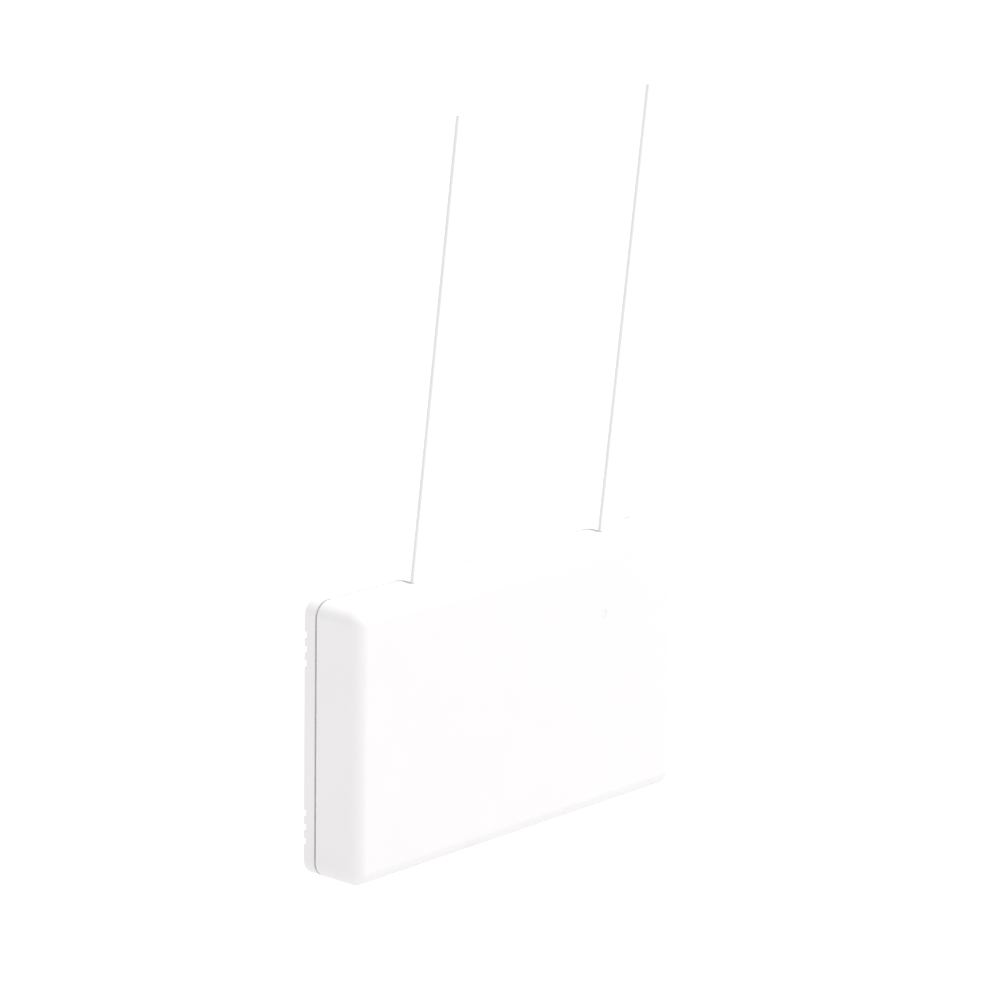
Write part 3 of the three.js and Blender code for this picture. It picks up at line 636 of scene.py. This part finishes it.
def rear_base():
    wall = TONGUE_INSET + TONGUE_WALL
    base = housing_skin([*reversed(fillet(0, 0, REAR_EDGE, 1, 4)), (0, BASE_FRONT_Y)], "base_shell")
    tongue = housing_skin([(TONGUE_INSET, PANEL_FRONT_Y), (TONGUE_INSET, TONGUE_FRONT_Y)])
    combine(base, [tongue], "UNION")
    inside = housing_skin([(wall, PANEL_FRONT_Y), (wall, FRONT_Y)])
    back_recess = housing_skin([(RIM_WIDTH, PAST), (RIM_WIDTH, PANEL_REAR_Y)])
    combine(base, [inside, back_recess, seam_wedge()], "DIFFERENCE")

    keyholes_x, keyhole_z = (-45, 45), 10
    pad_z, pad_radius, pad_root = 13, 10, PANEL_REAR_Y - ROOT
    behind_panel = PANEL_FRONT_Y - PAST
    label_field = rounded_rectangle(-17, 17, -10, 10, 2)
    cable_entry = rounded_rectangle(16, 44, -43, -36.5, 0.8, 4)
    lower_screw_z, lower_screw_radius = -39, 2.1
    boss_radius, boss_bore, boss_top = 3.2, 1.4, board_high.y + 0.05
    additions = [extruded(label_field, "Y", 0, pad_root)]
    for x in keyholes_x:
        additions.append(bar(x, pad_z, pad_radius, 0, pad_root, 64))
    for x in WIRE_X.values():
        additions.append(extruded(tab_outline(x), "Z", HALF_HEIGHT - COVER_WALL, HALF_HEIGHT))
    cuts = [extruded(keyhole_outline(x, keyhole_z), "Y", PAST, behind_panel) for x in keyholes_x]
    cuts.append(bar(0, lower_screw_z, lower_screw_radius, PAST, behind_panel, 32))
    cuts.append(extruded(cable_entry, "Y", PAST, behind_panel))
    for x, z in BASE_EJECTORS:
        cuts.append(bar(x, z, EJECTOR_RADIUS, PAST, PANEL_REAR_Y - EJECTOR_DEPTH))
    for number in BOARD_SCREWS:
        screw_at = centre_mm(f"board_screw_{number}")
        additions.append(bar(screw_at.x, screw_at.z, boss_radius, PANEL_FRONT_Y + ROOT, boss_top))
        cuts.append(bar(screw_at.x, screw_at.z, boss_bore, PANEL_FRONT_Y, board_high.y - PAST, 32))
    combine(base, additions, "UNION")
    combine(base, [*cuts, *side_openings()], "DIFFERENCE")
    soften(base, MOULDED_EDGE)
    return settle(base, "housing", "base_plastic", "rear_base")


def light_pipe():
    """A round pipe with a shallow hollow in its front and a flange that seats on the cover's collar."""
    centre = centre_mm("light_pipe")
    front, rear = box_mm("light_pipe")[0].y, box_mm("light_pipe")[1].y
    flange_radius, flange_front, flange_rear, eased = 2.6, -17.5, -16.5, 0.1
    face = [(0, front + 0.06), (0.9, front + 0.03), (1.35, front), (1.56, front + 0.02)]
    flange = [
        (PIPE_RADIUS, flange_front), (flange_radius - eased, flange_front),
        (flange_radius, flange_front + eased), (flange_radius, flange_rear - eased),
        (flange_radius - eased, flange_rear), (PIPE_RADIUS, flange_rear),
    ]
    end = [(PIPE_RADIUS, rear - 0.2), (PIPE_RADIUS - 0.2, rear), (0, rear)]
    pipe = turned([*face, (PIPE_RADIUS, front + 0.06), *flange, *end], name="light_pipe_moulding")
    pipe.data.transform(Matrix.Translation((centre.x, 0, centre.z)))
    return settle(pipe, "cover", "light_pipe", "light_pipe")


def along_wire(obj, side):
    """Turns a piece drawn along Y to lie along an antenna, with y = 0 at the wire's inner end."""
    foot, tip = wire_axis(side)
    turn = Vector((0, 1, 0)).rotation_difference(tip - foot).to_matrix().to_4x4()
    obj.data.transform(Matrix.Translation(foot) @ turn)
    return obj


def antenna(side):
    foot, tip = wire_axis(side)
    length = (tip - foot).length
    start = box_mm(f"antenna_sheath_{side}")[0].z - foot.z
    bare_tip, edge, steps = 0.2, 0.08, 60
    end = length - bare_tip
    rings = [start + edge + (end - 2 * edge - start) * i / steps for i in range(1, steps)]
    sheath = turned(
        [
            (SHEATH_BORE, start), (SHEATH_RADIUS - edge, start), (SHEATH_RADIUS, start + edge),
            *[(SHEATH_RADIUS, y) for y in rings],
            (SHEATH_RADIUS, end - edge), (SHEATH_RADIUS - edge, end),
            (SHEATH_BORE, end), (SHEATH_BORE, start),
        ],
        32,
        f"antenna_insulation_{side}",
    )
    bmesh_weld(sheath)
    along_wire(sheath, side)
    settle(sheath, "housing", "wire_insulation", f"antenna_sheath_{side}")
    cut_edge = 0.05
    eased = CORE_RADIUS - cut_edge
    inner_end = [(0, 0), (eased, 0), (CORE_RADIUS, cut_edge)]
    outer_end = [(CORE_RADIUS, length - cut_edge), (eased, length), (0, length)]
    core = turned([*inner_end, *outer_end], 24, f"antenna_conductor_{side}")
    along_wire(core, side)
    settle(core, "housing", "copper", f"antenna_core_{side}", look="tinned_copper")


def bmesh_weld(obj, distance=1e-4):
    """Merges the vertices that a closed profile repeats."""
    bm = bmesh.new()
    bm.from_mesh(obj.data)
    bmesh.ops.remove_doubles(bm, verts=bm.verts, dist=distance)
    bmesh.ops.recalc_face_normals(bm, faces=bm.faces)
    bm.to_mesh(obj.data)
    bm.free()


# ---- Circuit board ----

BOARD_FACE = board_low.y
LEAD_PLACES = [(pin - 4.5) * 1.27 for pin in range(10)]


def gathered(name, pieces):
    """One object made of several separate closed solids."""
    bm = bmesh.new()
    for piece in pieces:
        bm.from_mesh(piece.data)
        mesh = piece.data
        bpy.data.objects.remove(piece)
        bpy.data.meshes.remove(mesh)
    return scene_object(name, bm)


def moved(obj, x, y, z):
    obj.data.transform(Matrix.Translation((x, y, z)))
    return obj


def helix(radius, wire, turns, rear, front, name, sides=12, steps=28):
    """A coil of round wire about the Y axis, closed at both ends."""
    bm = bmesh.new()
    rings = []
    count = int(turns * steps)
    for i in range(count + 1):
        angle = 2 * math.pi * turns * i / count
        radial = Vector((math.cos(angle), 0, math.sin(angle)))
        pitch = (front - rear) / (2 * math.pi * turns)
        along = Vector((-radius * math.sin(angle), pitch, radius * math.cos(angle))).normalized()
        across = along.cross(radial)
        centre = radius * radial + Vector((0, rear + (front - rear) * i / count, 0))
        ring = []
        for k in range(sides):
            turn = 2 * math.pi * k / sides
            ring.append(bm.verts.new(centre + wire * (math.cos(turn) * radial + math.sin(turn) * across)))
        rings.append(ring)
    skin(bm, rings)
    return scene_object(name, bm)


def tamper_coil():
    """The plunger's return spring."""
    low, high = box_mm("tamper_spring")
    centre = (low + high) / 2
    wire, turns = 0.2, 4
    radius = (high.x - low.x) / 2 - wire
    coil = helix(radius, wire, turns, high.y - wire, low.y + wire, "tamper_return_spring")
    moved(coil, centre.x, 0, centre.z)
    settle(coil, "housing", "steel", "tamper_spring")
    coil.parent = None
    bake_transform(coil)


# The height of each kind of screw's head and the radius of its shank.
HEAD_HEIGHT = {"board": 1.6, "terminal": 1.2, "antenna": 1.2}
SHANK_RADIUS = {"board": 1.1, "terminal": 1.0, "antenna": 1.15}


def thread_ridges(shank, start, end):
    """The profile of a thread, as rings: grooves in a shank, from start to end."""
    depth, half_groove, pitch = 0.12, 0.15, 0.42
    ridges = []
    y = start
    while y < end:
        ridges += [(shank, y), (shank - depth, y + half_groove), (shank, y + 2 * half_groove)]
        y += pitch
    return ridges


def screw(node):
    """A pan-head screw with a cross recess, in the place and size of its CAD node."""
    low, high = box_mm(node)
    centre = (low + high) / 2
    head = (high.x - low.x) / 2
    kind = node.split("_")[0]
    height, shank = HEAD_HEIGHT[kind], SHANK_RADIUS[kind]
    seat = low.y + height
    rim, dome = 0.35, 0.65
    crown = []
    for degrees in range(0, 91, 10):
        angle = math.radians(degrees)
        crown.append((head * math.sin(angle), seat - height * (rim + dome * math.cos(angle))))
    threads = thread_ridges(shank, seat + 0.25, high.y - 0.45)
    profile = [*crown, (head, seat), (shank, seat), *threads, (shank - 0.2, high.y), (0, high.y)]
    body = turned(profile, 40, f"{node}_turned")
    moved(body, centre.x, 0, centre.z)
    long, thin, floor = head * 0.62, head * 0.13, low.y + height * 0.5
    recess = [
        block(centre.x - a, centre.x + a, floor, low.y - PAST, centre.z - b, centre.z + b)
        for a, b in ((long, thin), (thin, long))
    ]
    combine(body, recess, "DIFFERENCE")
    soften(body, 0.05, 2, 40)
    settle(body, "housing", "steel", node)


def controller():
    """The microcontroller's drafted body with its gull-wing leads."""
    centre = centre_mm("microcontroller")
    front = box_mm("microcontroller")[0].y
    rear = BOARD_FACE - 0.2
    middle = (front + rear) / 2
    half_length, half_height, corner = 6.4, 3.75, 0.15
    bm = bmesh.new()
    loops = []
    for inset, y in ((0.18, rear), (0, middle), (0.22, front)):
        outline = rounded_rectangle(
            inset - half_length, half_length - inset, inset - half_height, half_height - inset, corner, 3
        )
        loops.append([bm.verts.new((x, y, z)) for x, z in outline])
    skin(bm, loops)
    body = scene_object("controller_package", bm)
    dimple_x, dimple_z, dimple_radius, dimple_depth = -5.2, -2.6, 0.5, 0.12
    dimple = bar(dimple_x, dimple_z, dimple_radius, front + dimple_depth, front - PAST, 32)
    combine(body, [dimple], "DIFFERENCE")
    soften(body, 0.07, 2)
    moved(body, centre.x, 0, centre.z)
    settle(body, "housing", "black_plastic", "microcontroller")
    lead_front, lead_rear, half_lead = BOARD_FACE - 0.28, BOARD_FACE - 0.06, 0.21
    wing = [
        (3.6, middle - 0.1), (4.15, middle - 0.1), (4.35, lead_front), (5.2, lead_front),
        (5.2, lead_rear), (4.2, lead_rear), (4.0, middle + 0.12), (3.6, middle + 0.12),
    ]
    leads = []
    for side in (-1, 1):
        outline = [(y, side * z) for z, y in wing]
        for x in LEAD_PLACES:
            leads.append(extruded(outline, "X", x - half_lead, x + half_lead))
    leads = gathered("controller_leads", leads)
    soften(leads, 0.04, 2, 50)
    moved(leads, centre.x, 0, centre.z)
    settle(leads, "housing", "tinned_steel")


def header():
    """The header's notched black base with its square tinned pins, each with a pointed end."""
    low, high = box_mm("pin_header")
    centre = (low + high) / 2
    half_length, half_depth, height = 3.8, 1.25, 2.5
    base_front = high.y - height
    base = block(-half_length, half_length, high.y, base_front, -half_depth, half_depth, "header_base")
    notches = [
        block(x - 0.3, x + 0.3, high.y + PAST, base_front - PAST, z - 0.35, z + 0.35)
        for x in (-PITCH / 2, PITCH / 2) for z in (-half_depth, half_depth)
    ]
    combine(base, notches, "DIFFERENCE")
    soften(base, 0.12, 2)
    moved(base, centre.x, 0, centre.z)
    settle(base, "housing", "black_plastic", "pin_header")
    half_pin, point = 0.32, 0.16
    pins = []
    for way in (-1, 0, 1):
        pin = block(-half_pin, half_pin, high.y - 1, low.y, -half_pin, half_pin)
        pins.append(moved(soften(pin, point, 2), way * PITCH, 0, 0))
    pins = moved(gathered("header_pins", pins), centre.x, 0, centre.z)
    settle(pins, "housing", "tinned_steel")


def voltage_regulator():
    """The regulator's drafted body between its soldered metal tab and its bent legs."""
    low, high = box_mm("voltage_regulator")
    centre = (low + high) / 2
    rear, front = high.y - 0.05, low.y
    half_width, half_height, draft = 3.3, 3.05, 0.95
    body = block(-half_width, half_width, rear, front, -half_height, half_height, "regulator_package")
    for vertex in body.data.vertices:
        if vertex.co.y < (rear + front) / 2:
            vertex.co.x *= draft
            vertex.co.z *= draft
    soften(body, 0.12, 3)
    tab_top, leg_end = 4.2, -5.5
    middle = centre.z - (tab_top + leg_end) / 2
    moved(body, centre.x, 0, middle)
    settle(body, "housing", "black_plastic", "voltage_regulator")
    seat = high.y
    thickness, leg_x, half_leg = 0.55, 2.3, 0.4
    tab = block(-2.65, 2.65, seat, seat - thickness, 2.4, tab_top)
    metal = [soften(tab, 0.12, 2)]
    bend = [
        (-2.9, seat - 1.3), (-3.5, seat - 1.3), (-4.1, seat - thickness), (leg_end, seat - thickness),
        (leg_end, seat), (-3.8, seat), (-3.3, seat - 0.75), (-2.9, seat - 0.75),
    ]
    for x in (-leg_x, leg_x):
        leg = extruded([(y, z) for z, y in bend], "X", x - half_leg, x + half_leg)
        metal.append(soften(leg, 0.06, 2, 50))
    metal = moved(gathered("regulator_tab_and_legs", metal), centre.x, 0, middle)
    settle(metal, "housing", "tinned_steel")


def capacitor(node):
    """An electrolytic capacitor: a sleeved can with a scored aluminium top and a pale polarity stripe."""
    low, high = box_mm(node)
    centre = (low + high) / 2
    radius = (high.x - low.x) / 2
    foot, top = high.y, low.y
    groove_start, groove_depth, half_groove = foot - 1.6, 0.3, 0.3
    groove_end = groove_start - 2 * half_groove
    lip_radius, lip_y, lid_y = radius - 0.7, top + 0.06, top + 0.3
    can = [
        (0, foot), (radius - 0.25, foot), (radius, foot - 0.25), (radius, groove_start),
        (radius - groove_depth, groove_start - half_groove), (radius, groove_end),
    ]
    shoulder = [(radius, top + 0.55), (radius - 0.12, top + 0.25), (radius - 0.4, lip_y)]
    shoulder.append((lip_radius, lip_y))
    sleeve = turned([*can, *shoulder, (lip_radius, lid_y), (0, lid_y)], 56, f"{node}_sleeve")
    soften(sleeve, 0.05, 2, 50)
    moved(sleeve, centre.x, 0, centre.z)
    settle(sleeve, "housing", "capacitor_sleeve", node)
    lid = bar(0, 0, radius - 0.75, top + 0.28, top + 0.02, 48)
    reach, half_score, score_floor = radius - 1.3, 0.09, top + 0.12
    scores = [
        block(-a, a, score_floor, top - PAST, -b, b) for a, b in ((reach, half_score), (half_score, reach))
    ]
    combine(lid, scores, "DIFFERENCE")
    soften(lid, 0.03, 2, 40)
    lid.name = f"{node}_vent"
    moved(lid, centre.x, 0, centre.z)
    settle(lid, "housing", "tinned_steel")
    from_angle, to_angle = 155, 205
    outer = arc(0, 0, radius + 0.02, from_angle, to_angle, 12)
    inner = arc(0, 0, radius - 0.1, to_angle, from_angle, 12)
    stripe = extruded([*outer, *inner], "Y", foot - 2.4, top + 0.7, f"{node}_stripe")
    dash_length, half_dash, dash_count = 0.9, 0.16, 3
    dashes = []
    for i in range(dash_count):
        y = foot - 3.3 - i * (foot - top - 4) / dash_count
        dashes.append(block(-radius - PAST, -radius + PAST, y, y - dash_length, -half_dash, half_dash))
    combine(stripe, dashes, "DIFFERENCE")
    moved(stripe, centre.x, 0, centre.z)
    settle(stripe, "housing", "slider_white", look="print")


def led_lens():
    low, high = box_mm("status_led")
    centre = (low + high) / 2
    radius, rim_radius, rim_height, rim_edge = 1.5, 1.9, 0.9, 0.05
    rim_front = high.y - rim_height
    rim = [
        (0, high.y), (rim_radius, high.y), (rim_radius, rim_front + rim_edge),
        (rim_radius - rim_edge, rim_front), (radius, rim_front),
    ]
    shoulder = low.y + radius
    dome = [(x, shoulder - y) for x, y in arc(0, 0, radius, 0, 90, 10)[:-1]]
    lens = turned([*rim, *dome, (0, low.y)], 40, "status_led_lens")
    moved(lens, centre.x, 0, centre.z)
    settle(lens, "housing", "led_lens", "status_led")


def ribbon(route, width, rear, front):
    """A flat strip along a route of (x, z) points, mitred at its bends."""
    left, right = [], []
    for i, here in enumerate(route):
        before = Vector(here) - Vector(route[i - 1]) if i else Vector(route[1]) - Vector(here)
        after = Vector(route[i + 1]) - Vector(here) if i + 1 < len(route) else before
        before.normalize()
        after.normalize()
        normal = Vector((-(before + after).y, (before + after).x)).normalized()
        reach = width / 2 / max(normal.dot(Vector((-before.y, before.x))), 0.3)
        left.append(tuple(Vector(here) + reach * normal))
        right.append(tuple(Vector(here) - reach * normal))
    return extruded([*left, *reversed(right)], "Y", rear, front)


def dogleg(start, end):
    """Straight along the longer way, then through 45 degrees to the end."""
    across, up = end[0] - start[0], end[1] - start[1]
    if abs(across) > abs(up):
        bend = (end[0] - math.copysign(abs(up), across), start[1])
    else:
        bend = (start[0], end[1] - math.copysign(abs(across), up))
    points = [start, bend, end]
    return [p for i, p in enumerate(points) if i == 0 or Vector(p) != Vector(points[i - 1])]


def annulus(x, z, outer, inner, rear, front):
    ring = bar(x, z, outer, rear, front, 28)
    return combine(ring, [bar(x, z, inner, rear + PAST, front - PAST, 20)], "DIFFERENCE")


def tracks_and_pads():
    """Copper under the solder mask, from pins to vias, and the bare tinned pads."""
    rear, front = BOARD_FACE + PRINT_SINK, BOARD_FACE - COPPER_HEIGHT
    strips, pads = [], []
    signal_width, lead_width, aerial_width, power_width = 0.4, 0.32, 1.2, 1.5
    via_radius, via_bore, via_height = 0.55, 0.2, 0.02

    def link(start, end, width=signal_width, via=True):
        strips.append(ribbon(dogleg(start, end), width, rear, front))
        if via:
            pads.append(annulus(*end, via_radius, via_bore, rear, front - via_height))

    controller_at = centre_mm("microcontroller")
    lead_end, nearest, fan, rise = 5.1, 2.2, 1.05, 0.3
    for side in (-1, 1):
        for pin in range(10):
            x = controller_at.x + LEAD_PLACES[pin]
            z = controller_at.z + side * lead_end
            step = pin - 4.5
            reach = nearest + abs(step) * rise
            link((x, z), (x + step * fan, z + side * reach), lead_width)
    block_top, relay_foot = -24.6, -18.2
    for way in TERMINAL_WAYS:
        clamp = centre_mm(f"terminal_screw_{way}")
        strips.append(ribbon([(clamp.x, block_top), (clamp.x, relay_foot)], power_width, rear, front))
    for name in ("left", "right"):
        card = centre_mm(f"receiver_board_{name}")
        terminal = centre_mm(f"antenna_terminal_{name}")
        link((terminal.x, terminal.z - 4), (card.x, card.z + 7.4), aerial_width, False)
        for way in range(-3, 4):
            x = card.x + way * PITCH
            stagger = 0.8 * (way + 3) % 3
            link((x, card.z - 7), (x + 1.2, card.z - 10 - stagger))
    header_at = centre_mm("pin_header")
    switch_at = centre_mm("dip_switch_body")
    for row in range(4):
        x = switch_at.x + (row - 1.5) * PITCH
        link((x, switch_at.z - 3.4), (x - 2, switch_at.z - 9 + row * 0.9))
        via_at = (switch_at.x - 12 + row * 0.8, header_at.z + 5.5 - row * 1.6)
        link((header_at.x + 4.6, header_at.z + 1.5 - row), via_at)
    settle(gathered("masked_copper_tracks", strips), "housing", "board_laminate", look="tracks")

    land_radius, land_bore = 3.3, 1.5
    for number in BOARD_SCREWS:
        screw_at = centre_mm(f"board_screw_{number}")
        pads.append(annulus(screw_at.x, screw_at.z, land_radius, land_bore, rear, front))
    test_pad_x, test_pad_z, test_pad_pitch, test_pad_radius = -60, -31, 3, 0.9
    for i in range(6):
        pads.append(bar(test_pad_x + i * test_pad_pitch, test_pad_z, test_pad_radius, rear, front, 28))
    settle(gathered("tinned_pads", pads), "housing", "tinned_steel")


def chip_places():
    """Where the small chip parts stand, as rows of (x, z, upright)."""
    pitch = 2.6
    rows = [(-27.8 + i * PITCH, 5.2, True) for i in range(4)]
    rows += [(-33.2, 19 - i * pitch, False) for i in range(4)]
    rows += [(8.8, 8 - i * pitch, False) for i in range(4)]
    rows += [(26.5, 16 - i * pitch, False) for i in range(2)]
    rows += [(-10.6, 16, True), (6.6, 16, True), (35.5, 24, False), (35.5, 21.4, False)]
    rows += [(relay_x + step, -4.4, True) for relay_x in (22, 40) for step in (-3, 0, 3)]
    rows += [(6.6, -18 - i * pitch, False) for i in range(2)]
    rows += [(42.4, 12 - i * pitch, False) for i in range(3)]
    return rows


def chip_rows():
    """Small chip parts, each with a dark body between two tinned ends."""
    length, width, inset = 2.0, 1.25, 0.05
    body_height, end_height = 0.55, 0.6
    end_place, end_half_width, end_half_length = 0.85, 0.66, 0.24
    bodies, ends = [], []
    for x, z, upright in chip_places():
        half_x, half_z = (width / 2, length / 2) if upright else (length / 2, width / 2)
        bodies.append(block(
            x - half_x + inset, x + half_x - inset, BOARD_FACE, BOARD_FACE - body_height,
            z - half_z + inset, z + half_z - inset,
        ))
        for side in (-1, 1):
            dx, dz = (0, side * end_place) if upright else (side * end_place, 0)
            wide, high = (end_half_width, end_half_length) if upright else (end_half_length, end_half_width)
            ends.append(block(
                x + dx - wide, x + dx + wide, BOARD_FACE, BOARD_FACE - end_height,
                z + dz - high, z + dz + high,
            ))
    bodies = soften(gathered("chip_part_bodies", bodies), 0.05, 2)
    ends = soften(gathered("chip_part_ends", ends), 0.07, 2)
    settle(bodies, "housing", "black_plastic")
    settle(ends, "housing", "tinned_steel")


PRINT_REAR_Y = BOARD_FACE + PRINT_SINK
PRINT_FRONT_Y = BOARD_FACE - PRINT_HEIGHT
PRINT_LINE = 0.2


def frame_outline(low, high, grow):
    """A printed rectangle round a part."""
    rear, front, line = PRINT_REAR_Y, PRINT_FRONT_Y, PRINT_LINE
    left, right, bottom, top = low.x - grow, high.x + grow, low.z - grow, high.z + grow
    return [
        block(left, right, rear, front, top - line, top),
        block(left, right, rear, front, bottom, bottom + line),
        block(left, left + line, rear, front, bottom + line, top - line),
        block(right - line, right, rear, front, bottom + line, top - line),
    ]


def printed_outlines():
    """A frame or a ring round each part, and a dot by the controller's first pin."""
    frame_gap, ring_gap, dot_radius = 0.6, 0.7, 0.35
    lines = []
    for node in (
        "dip_switch_body", "pin_header", "crystal", "voltage_regulator", "relay_1", "relay_2",
        "terminal_block", "learn_button_body", "tamper_switch_body", "receiver_board_left",
        "receiver_board_right", "antenna_terminal_left", "antenna_terminal_right",
    ):
        lines += frame_outline(*box_mm(node), frame_gap)
    for node in ("capacitor_large", "capacitor_small", "status_led"):
        low, high = box_mm(node)
        centre = (low + high) / 2
        radius = (high.x - low.x) / 2 + ring_gap
        lines.append(annulus(centre.x, centre.z, radius, radius - PRINT_LINE, PRINT_REAR_Y, PRINT_FRONT_Y))
    corner = box_mm("microcontroller")[0]
    lines.append(bar(corner.x - 0.9, corner.z + 1.6, dot_radius, PRINT_REAR_Y, PRINT_FRONT_Y, 20))
    settle(gathered("printed_part_outlines", lines), "housing", "slider_white", look="print")


def terminal_clamps():
    """The rising clamp in each wire opening: a tinned box with the wire's way through it."""
    half_width, wall, height = 1.45, 0.4, 3.4
    half_way = half_width - wall
    rear, front = BOARD_FACE - 1.9, BOARD_FACE - 4.9
    bottom = box_mm("terminal_block")[0].z + 0.9
    clamps = []
    for way in TERMINAL_WAYS:
        x = centre_mm(f"terminal_screw_{way}").x
        shell = block(x - half_width, x + half_width, rear, front, bottom, bottom + height)
        way_through = block(x - half_way, x + half_way, rear - wall, front + wall, bottom - 1, bottom + 5)
        clamps.append(combine(shell, [way_through], "DIFFERENCE"))
    settle(soften(gathered("terminal_clamps", clamps), 0.08, 2), "housing", "tinned_steel")


def receiver_details(side):
    """On each receiver's card: a tuning coil beside the shield and a row of solder joints."""
    card_low, card_high = box_mm(f"receiver_board_{side}")
    face = card_low.y
    centre = (card_low + card_high) / 2
    coil_radius, coil_wire, turns, half_coil = 1.1, 0.22, 4, 2.0
    coil = helix(coil_radius, coil_wire, turns, -half_coil, half_coil, f"receiver_coil_{side}")
    coil.data.transform(Matrix.Rotation(math.pi / 2, 4, "Z"))
    moved(coil, centre.x + 7.4, face - 1.35, centre.z - 5.1)
    settle(coil, "housing", "copper")
    cone = [(0, 0), (0.75, 0), (0.6, -0.25), (0.32, -0.6), (0, -0.7)]
    joints = []
    for way in range(-3, 4):
        joint = turned(cone, 20)
        joints.append(moved(joint, centre.x + way * PITCH - 1.2, face + 0.01, card_low.z + 1.0))
    settle(gathered(f"receiver_joints_{side}", joints), "housing", "tinned_steel")


# The radius of the edges of the CAD parts that stay, where it isn't the moulded edge.
EDGES = {
    "relay_1": 0.35, "relay_2": 0.35, "crystal": 0.3, "receiver_shield_left": 0.2,
    "receiver_shield_right": 0.2, "jumper_cap": 0.2, "terminal_block": 0.16,
}


def carried_over():
    """The CAD parts that stay: rounded edges on each, and the material of its slot."""
    for part in frame["record"]["subparts"]:
        node = frame["nodes"][part["node"]]
        if node.hide_render:
            continue
        for holder in node.material_slots:
            holder.material = finishes[part["material_slot"]].material
        weld = node.modifiers.new("weld", "WELD")
        weld.merge_threshold = 1e-6
        bevel = node.modifiers.new("bevel", "BEVEL")
        bevel.width = EDGES.get(part["node"], MOULDED_EDGE) * MM
        bevel.segments = 3
        bevel.limit_method = "ANGLE"
        bevel.angle_limit = math.radians(SHARP_ANGLE)
        weighted = node.modifiers.new("weighted", "WEIGHTED_NORMAL")
        weighted.keep_sharp = False


front_cover()
rear_base()
light_pipe()
for side in ("left", "right"):
    antenna(side)
    screw(f"antenna_clamp_screw_{side}")
    receiver_details(side)
for number in BOARD_SCREWS:
    screw(f"board_screw_{number}")
for number in TERMINAL_WAYS:
    screw(f"terminal_screw_{number}")
tamper_coil()
controller()
header()
voltage_regulator()
capacitor("capacitor_large")
capacitor("capacitor_small")
led_lens()
tracks_and_pads()
chip_rows()
printed_outlines()
terminal_clamps()
carried_over()

# ---- Stage, light and camera ----


FLOOR_HALF_SIZE = 12
FLOOR_GAP = 0.0002
FLOOR_TONE = 0.15
FLOOR_GLOW = 0.94
SKY_STRENGTH = 0.918


def studio_floor():
    """A pale sheet that the housing stands on, bright enough to run into the background."""
    bm = bmesh.new()
    bmesh.ops.create_grid(bm, x_segments=1, y_segments=1, size=FLOOR_HALF_SIZE)
    mesh = bpy.data.meshes.new("studio_floor")
    bm.to_mesh(mesh)
    bm.free()
    floor = bpy.data.objects.new("studio_floor", mesh)
    bpy.context.scene.collection.objects.link(floor)
    floor.location.z = cad_low.z - FLOOR_GAP
    finish = Finish("floor_white", 0.8)
    finish.shader.inputs["Base Color"].default_value = (FLOOR_TONE, FLOOR_TONE, FLOOR_TONE, 1)
    finish.shader.inputs["Specular IOR Level"].default_value = 0
    finish.shader.inputs["Emission Color"].default_value = (1, 1, 1, 1)
    finish.shader.inputs["Emission Strength"].default_value = FLOOR_GLOW
    mesh.materials.append(finish.material)


def softbox(name, place, target, size, power):
    light = bpy.data.lights.new(name, "AREA")
    light.shape = "RECTANGLE"
    light.size, light.size_y = size
    light.energy = power
    obj = bpy.data.objects.new(name, light)
    bpy.context.scene.collection.objects.link(obj)
    obj.location = place
    obj.rotation_euler = (Vector(target) - Vector(place)).to_track_quat("-Z", "Y").to_euler()


def studio_light():
    world = bpy.data.worlds.new("studio")
    bpy.context.scene.world = world
    world.use_nodes = True
    background = world.node_tree.nodes["Background"]
    background.inputs["Color"].default_value = (1, 1, 1, 1)
    background.inputs["Strength"].default_value = SKY_STRENGTH
    softbox("key", (1.1, -1.9, 1.1), (0, 0, 0.02), (1.4, 1.2), 10.4)
    softbox("overhead", (0.75, -0.3, 1.85), (0, 0, 0), (1.0, 1.0), 23)


def photo_camera():
    yaw, pitch, roll = math.radians(48.434), math.radians(14.273), math.radians(0.841)
    forward = Vector((math.sin(yaw) * math.cos(pitch), math.cos(yaw) * math.cos(pitch), -math.sin(pitch)))
    level = Vector((math.cos(yaw), -math.sin(yaw), 0))
    up = level.cross(forward)
    right = math.cos(roll) * level + math.sin(roll) * up
    up = math.cos(roll) * up - math.sin(roll) * level
    camera = bpy.data.objects.new("camera", bpy.data.cameras.new("camera"))
    camera.data.sensor_width = 36
    camera.data.lens = 163.2
    camera.data.clip_start, camera.data.clip_end = 0.05, 50
    place = Vector((-1.1095, -0.9961, 0.4459))
    turn = Matrix((right, up, -forward)).transposed().to_4x4()
    camera.matrix_world = Matrix.Translation(place) @ turn
    bpy.context.scene.collection.objects.link(camera)
    bpy.context.scene.camera = camera


studio_floor()
studio_light()
photo_camera()
bpy.context.scene.view_settings.view_transform = "Standard"
